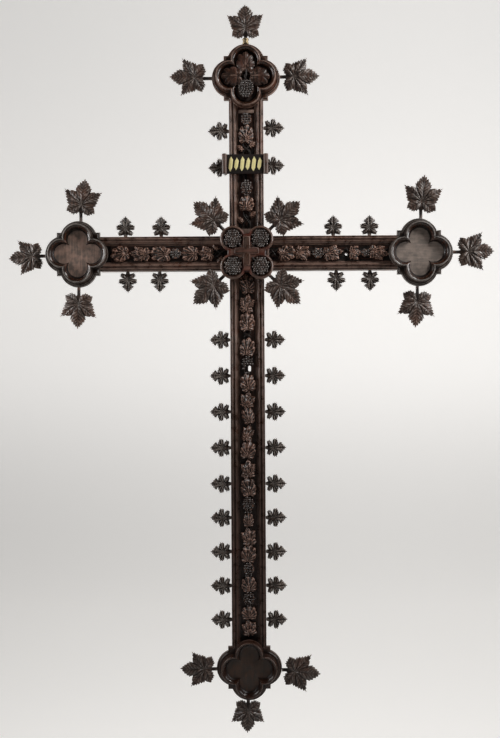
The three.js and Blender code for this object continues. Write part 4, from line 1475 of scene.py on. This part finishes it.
class CROSS_OT_leaves(bpy.types.Operator):
    """Carves the sixteen large vine leaves and puts them round the ends and the crossing"""

    bl_idname = "wall_cross.leaves"
    bl_label = "Large leaves"

    def execute(self, context):
        ends, boss, sizes = settings().ends, settings().boss, settings().leaves
        colours = settings().colours
        leaves = []
        for end, around in END_LEAVES.items():
            arm, reach, size = ARMS[end]
            x0, z0 = along(arm, reach)
            for side, shape in around.items():
                aside = shape[-1] * MM
                nearest = max(0.0, abs(aside) - sizes.stem)
                lobe = math.sqrt((ends.board_radius * size) ** 2 - nearest**2)
                foot = ends.board_reach * size + lobe + GAP
                if (end, side) == ("top", "up"):
                    low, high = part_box("brass_collar")
                    foot += high.z - low.z + GAP
                x, z = along(SIDE_TURN[side], foot, aside)
                place = put(x0 + x, sizes.depth, z0 + z, SIDE_TURN[side])
                leaves.append((f"{end}_{side}", place, shape))
        for name, (turn, shape) in CROSSING_LEAVES.items():
            x, z = along(turn, boss.lobe * math.sqrt(2) + boss.radius + GAP)
            leaves.append((f"crossing_{name}", put(x, sizes.crossing_depth, z, turn), shape))
        for seed, (name, place, shape) in enumerate(leaves, 1):
            bm = large_leaf(*shape[:4], seed)
            bmesh.ops.transform(bm, matrix=place, verts=bm.verts)
            # Dusty ridges with a painted highlight, and less painted shade at the foot.
            dry = oak(
                f"leaf_oak_{name}", dark=tuple(colours.leaf), warm=(0.15, 0.078, 0.055),
                worn_and_highlighted=tuple(colours.dusty), red=0.35 + 0.3 * (seed * 7 % 5) / 4, wax_and_highlight=0.7, rough=0.32,
                foot=0.4, seed=seed * 0.83,
            )
            finish_piece(
                f"vine_leaf_{name}", bm, [dry], [f"leaf_{name}"], sharp=60,
            )
        return {"FINISHED"}


def crocket(seed):
    """A small leaf with its foot at the origin."""
    sizes = settings().leaves
    leaf = leaf_blade(
        CROCKET_LEAF, sizes.crocket * 0.995, width=1.14, rings=12, step=2 * MM,
        edge=sizes.crocket_thick / 2 - 0.4 * MM, crown=4.2 * MM, swell=5.0 * MM, groove=1.2 * MM,
        rib=1.5 * MM, vein=1.25 * MM, thick=sizes.crocket_thick, seed=seed,
    )
    bm = bmesh.new()
    merge(bm, leaf)
    path = [(0, 0, 0.1 * MM), (0, 0.3 * MM, 5 * MM), (0, 1.0 * MM, 10 * MM), (0, 1.5 * MM, 15 * MM)]
    tube(bm, path, [3.0 * MM, 2.6 * MM, 2.4 * MM, 1.2 * MM])
    return bm


class CROSS_OT_crockets(bpy.types.Operator):
    """Carves the thirty small leaves along the edges of the beams"""

    bl_idname = "wall_cross.crockets"
    bl_label = "Crockets"

    def execute(self, context):
        sizes = settings().leaves
        edge = settings().beams.half + GAP
        colours = settings().colours
        places = {}
        for side, sign in (("left", -1), ("right", 1)):
            for i, z in enumerate(UPPER_CROCKETS[side]):
                places[f"upper_{side}_{i + 1}"] = (sign * edge, z * MM, sign * 90)
            for i, z in enumerate(SHAFT_CROCKETS):
                places[f"shaft_{side}_{i + 1}"] = (sign * edge, -z * MM, sign * 90)
            for way, up in (("up", 1), ("down", -1)):
                for i, x in enumerate(ARM_CROCKETS[side][way]):
                    turn = 0 if up > 0 else 180
                    places[f"{side}_arm_{way}_{i + 1}"] = (sign * x * MM, up * edge, turn)
        for seed, (name, (x, z, turn)) in enumerate(places.items()):
            bm = crocket(seed + 50)
            bmesh.ops.transform(bm, matrix=put(x, sizes.crocket_depth, z, turn), verts=bm.verts)
            # Dusty ridges with a painted highlight, and less painted shade at the foot.
            dry = oak(
                f"crocket_oak_{name}", dark=[0.6 * c for c in colours.leaf],
                warm=(0.09, 0.050, 0.034), worn_and_highlighted=tuple(colours.dusty), red=0.4, rough=0.30, foot=0.2,
                seed=seed * 0.61,
            )
            finish_piece(
                f"small_leaf_{name}", bm, [dry], [f"crocket_{name}"], sharp=60,
            )
        return {"FINISHED"}


# Floor, backdrop, lights and camera


def soft_light(name, place, aim, wide, tall, power, tint):
    lamp = bpy.data.lights.new(name, "AREA")
    lamp.shape, lamp.size, lamp.size_y = "RECTANGLE", wide, tall
    lamp.energy, lamp.color = power, tint
    light = bpy.data.objects.new(name, lamp)
    light.location = place
    light.rotation_mode = "QUATERNION"
    light.rotation_quaternion = (Vector(aim) - Vector(place)).to_track_quat("-Z", "Y")
    bpy.context.scene.collection.objects.link(light)
    light.visible_camera = False


def pale_backdrop():
    """A floor that bends up into a wall, with its foot well below the cross."""
    floor_z, wall_y, bend, reach, width = -2.1, 6.5, 2.5, 9, 40
    bm = bmesh.new()
    bmesh.ops.create_grid(bm, x_segments=2, y_segments=40, size=0.5)
    for vert in bm.verts:
        share = vert.co.y + 0.5
        if share < 0.4:
            y, z = -reach + (wall_y - bend + reach) * share / 0.4, floor_z
        elif share < 0.7:
            angle = (share - 0.4) / 0.3 * math.pi / 2
            y = wall_y - bend + bend * math.sin(angle)
            z = floor_z + bend * (1 - math.cos(angle))
        else:
            y, z = wall_y, floor_z + bend + (share - 0.7) / 0.3 * reach
        vert.co = (vert.co.x * width, y, z)
    bmesh.ops.recalc_face_normals(bm, faces=bm.faces)
    mesh = bpy.data.meshes.new("pale_backdrop")
    bm.to_mesh(mesh)
    bm.free()
    mesh.polygons.foreach_set("use_smooth", [True] * len(mesh.polygons))
    mesh.materials.append(pale_paper("pale_paper"))
    return bpy.data.objects.new("pale_backdrop", mesh)


def pale_room():
    """A room that gives little light and looks pale where the camera sees it."""
    world = bpy.data.worlds.new("pale_room")
    world.use_nodes = True
    world.node_tree.nodes.clear()
    tree = world.node_tree
    lit = add_node(
        tree, "ShaderNodeBackground",
        {"Color": (1.0, 0.99, 0.975, 1.0), "Strength": settings().stage.room},
    )
    seen = add_node(
        tree, "ShaderNodeBackground", {"Color": (0.82, 0.81, 0.79, 1.0), "Strength": 1.0}
    )
    straight = add_node(tree, "ShaderNodeLightPath").outputs["Is Camera Ray"]
    sky = add_node(tree, "ShaderNodeMixShader", {
        0: straight, 1: lit.outputs["Background"], 2: seen.outputs["Background"],
    })
    add_node(tree, "ShaderNodeOutputWorld", {"Surface": sky.outputs["Shader"]})
    return world


class CROSS_OT_stage(bpy.types.Operator):
    """Sets up the pale floor and backdrop, the soft lights and the camera"""

    bl_idname = "wall_cross.stage"
    bl_label = "Stage"

    def execute(self, context):
        view, scene = settings().stage, context.scene
        backdrop = pale_backdrop()
        scene.collection.objects.link(backdrop)
        scene.view_settings.view_transform = "Standard"
        scene.world = pale_room()

        middle = (0, 0, 0)
        for name, place, aim, wide, tall, power, tint in (
            ("key_softbox", (2.1, -1.35, 2.2), middle, 0.7, 0.7, 62, (1.0, 0.985, 0.96)),
            ("fill_softbox", (-2.2, -2.4, 1.0), (0, 0, -0.3), 1.0, 1.6, 5, (0.97, 0.985, 1.0)),
            ("left_strip", (-2.2, -0.38, 0.38), (0, 0, 0.1), 0.75, 1.35, 44, (1, 1, 1)),
            ("right_strip", (2.2, -0.38, 0.38), (0, 0, 0.1), 0.75, 1.35, 38, (1, 1, 1)),
        ):
            soft_light(name, place, aim, wide, tall, power * view.light, tint)

        lens = bpy.data.cameras.new("camera")
        lens.lens, lens.sensor_width = view.focal, 36.0
        lens.shift_x, lens.shift_y = -0.0203, -0.0095
        lens.clip_start, lens.clip_end = 0.05, 60.0
        camera = bpy.data.objects.new("camera", lens)
        camera.location = (view.across, -view.away, view.below)
        camera.rotation_euler = (math.pi / 2, view.roll, 0)
        scene.collection.objects.link(camera)
        scene.camera = camera
        return {"FINISHED"}


STEPS = (
    CROSS_OT_beams, CROSS_OT_ends, CROSS_OT_tray_carving, CROSS_OT_boss, CROSS_OT_trails,
    CROSS_OT_title, CROSS_OT_collar, CROSS_OT_leaves, CROSS_OT_crockets, CROSS_OT_stage,
)


class CROSS_PT_panel(bpy.types.Panel):
    """Lists the sizes and the steps of the wall cross"""

    bl_idname = "CROSS_PT_panel"
    bl_label = "Carved wall cross"
    bl_space_type = "VIEW_3D"
    bl_region_type = "UI"
    bl_category = "Wall cross"

    def draw(self, context):
        layout = self.layout
        cross = context.scene.wall_cross
        for group in ("beams", "ends", "boss", "trails", "title", "leaves", "colours", "stage"):
            box = layout.box()
            box.label(text=group.capitalize())
            values = getattr(cross, group)
            for name in values.__annotations__:
                box.prop(values, name)
        for step in STEPS:
            layout.operator(step.bl_idname)


CLASSES = (
    BeamSizes, EndSizes, BossSizes, TrailSizes, TitleSizes, LeafSizes, Colours, StageSettings,
    CrossSettings, *STEPS, CROSS_PT_panel,
)


def register():
    for cls in CLASSES:
        bpy.utils.register_class(cls)
    bpy.types.Scene.wall_cross = PointerProperty(type=CrossSettings)


def unregister():
    del bpy.types.Scene.wall_cross
    for cls in reversed(CLASSES):
        bpy.utils.unregister_class(cls)


def main():
    register()
    bpy.ops.wall_cross.beams()
    bpy.ops.wall_cross.ends()
    bpy.ops.wall_cross.tray_carving()
    bpy.ops.wall_cross.boss()
    bpy.ops.wall_cross.trails()
    bpy.ops.wall_cross.title()
    bpy.ops.wall_cross.collar()
    bpy.ops.wall_cross.leaves()
    bpy.ops.wall_cross.crockets()
    bpy.ops.wall_cross.stage()


if __name__ == "__main__":
    main()
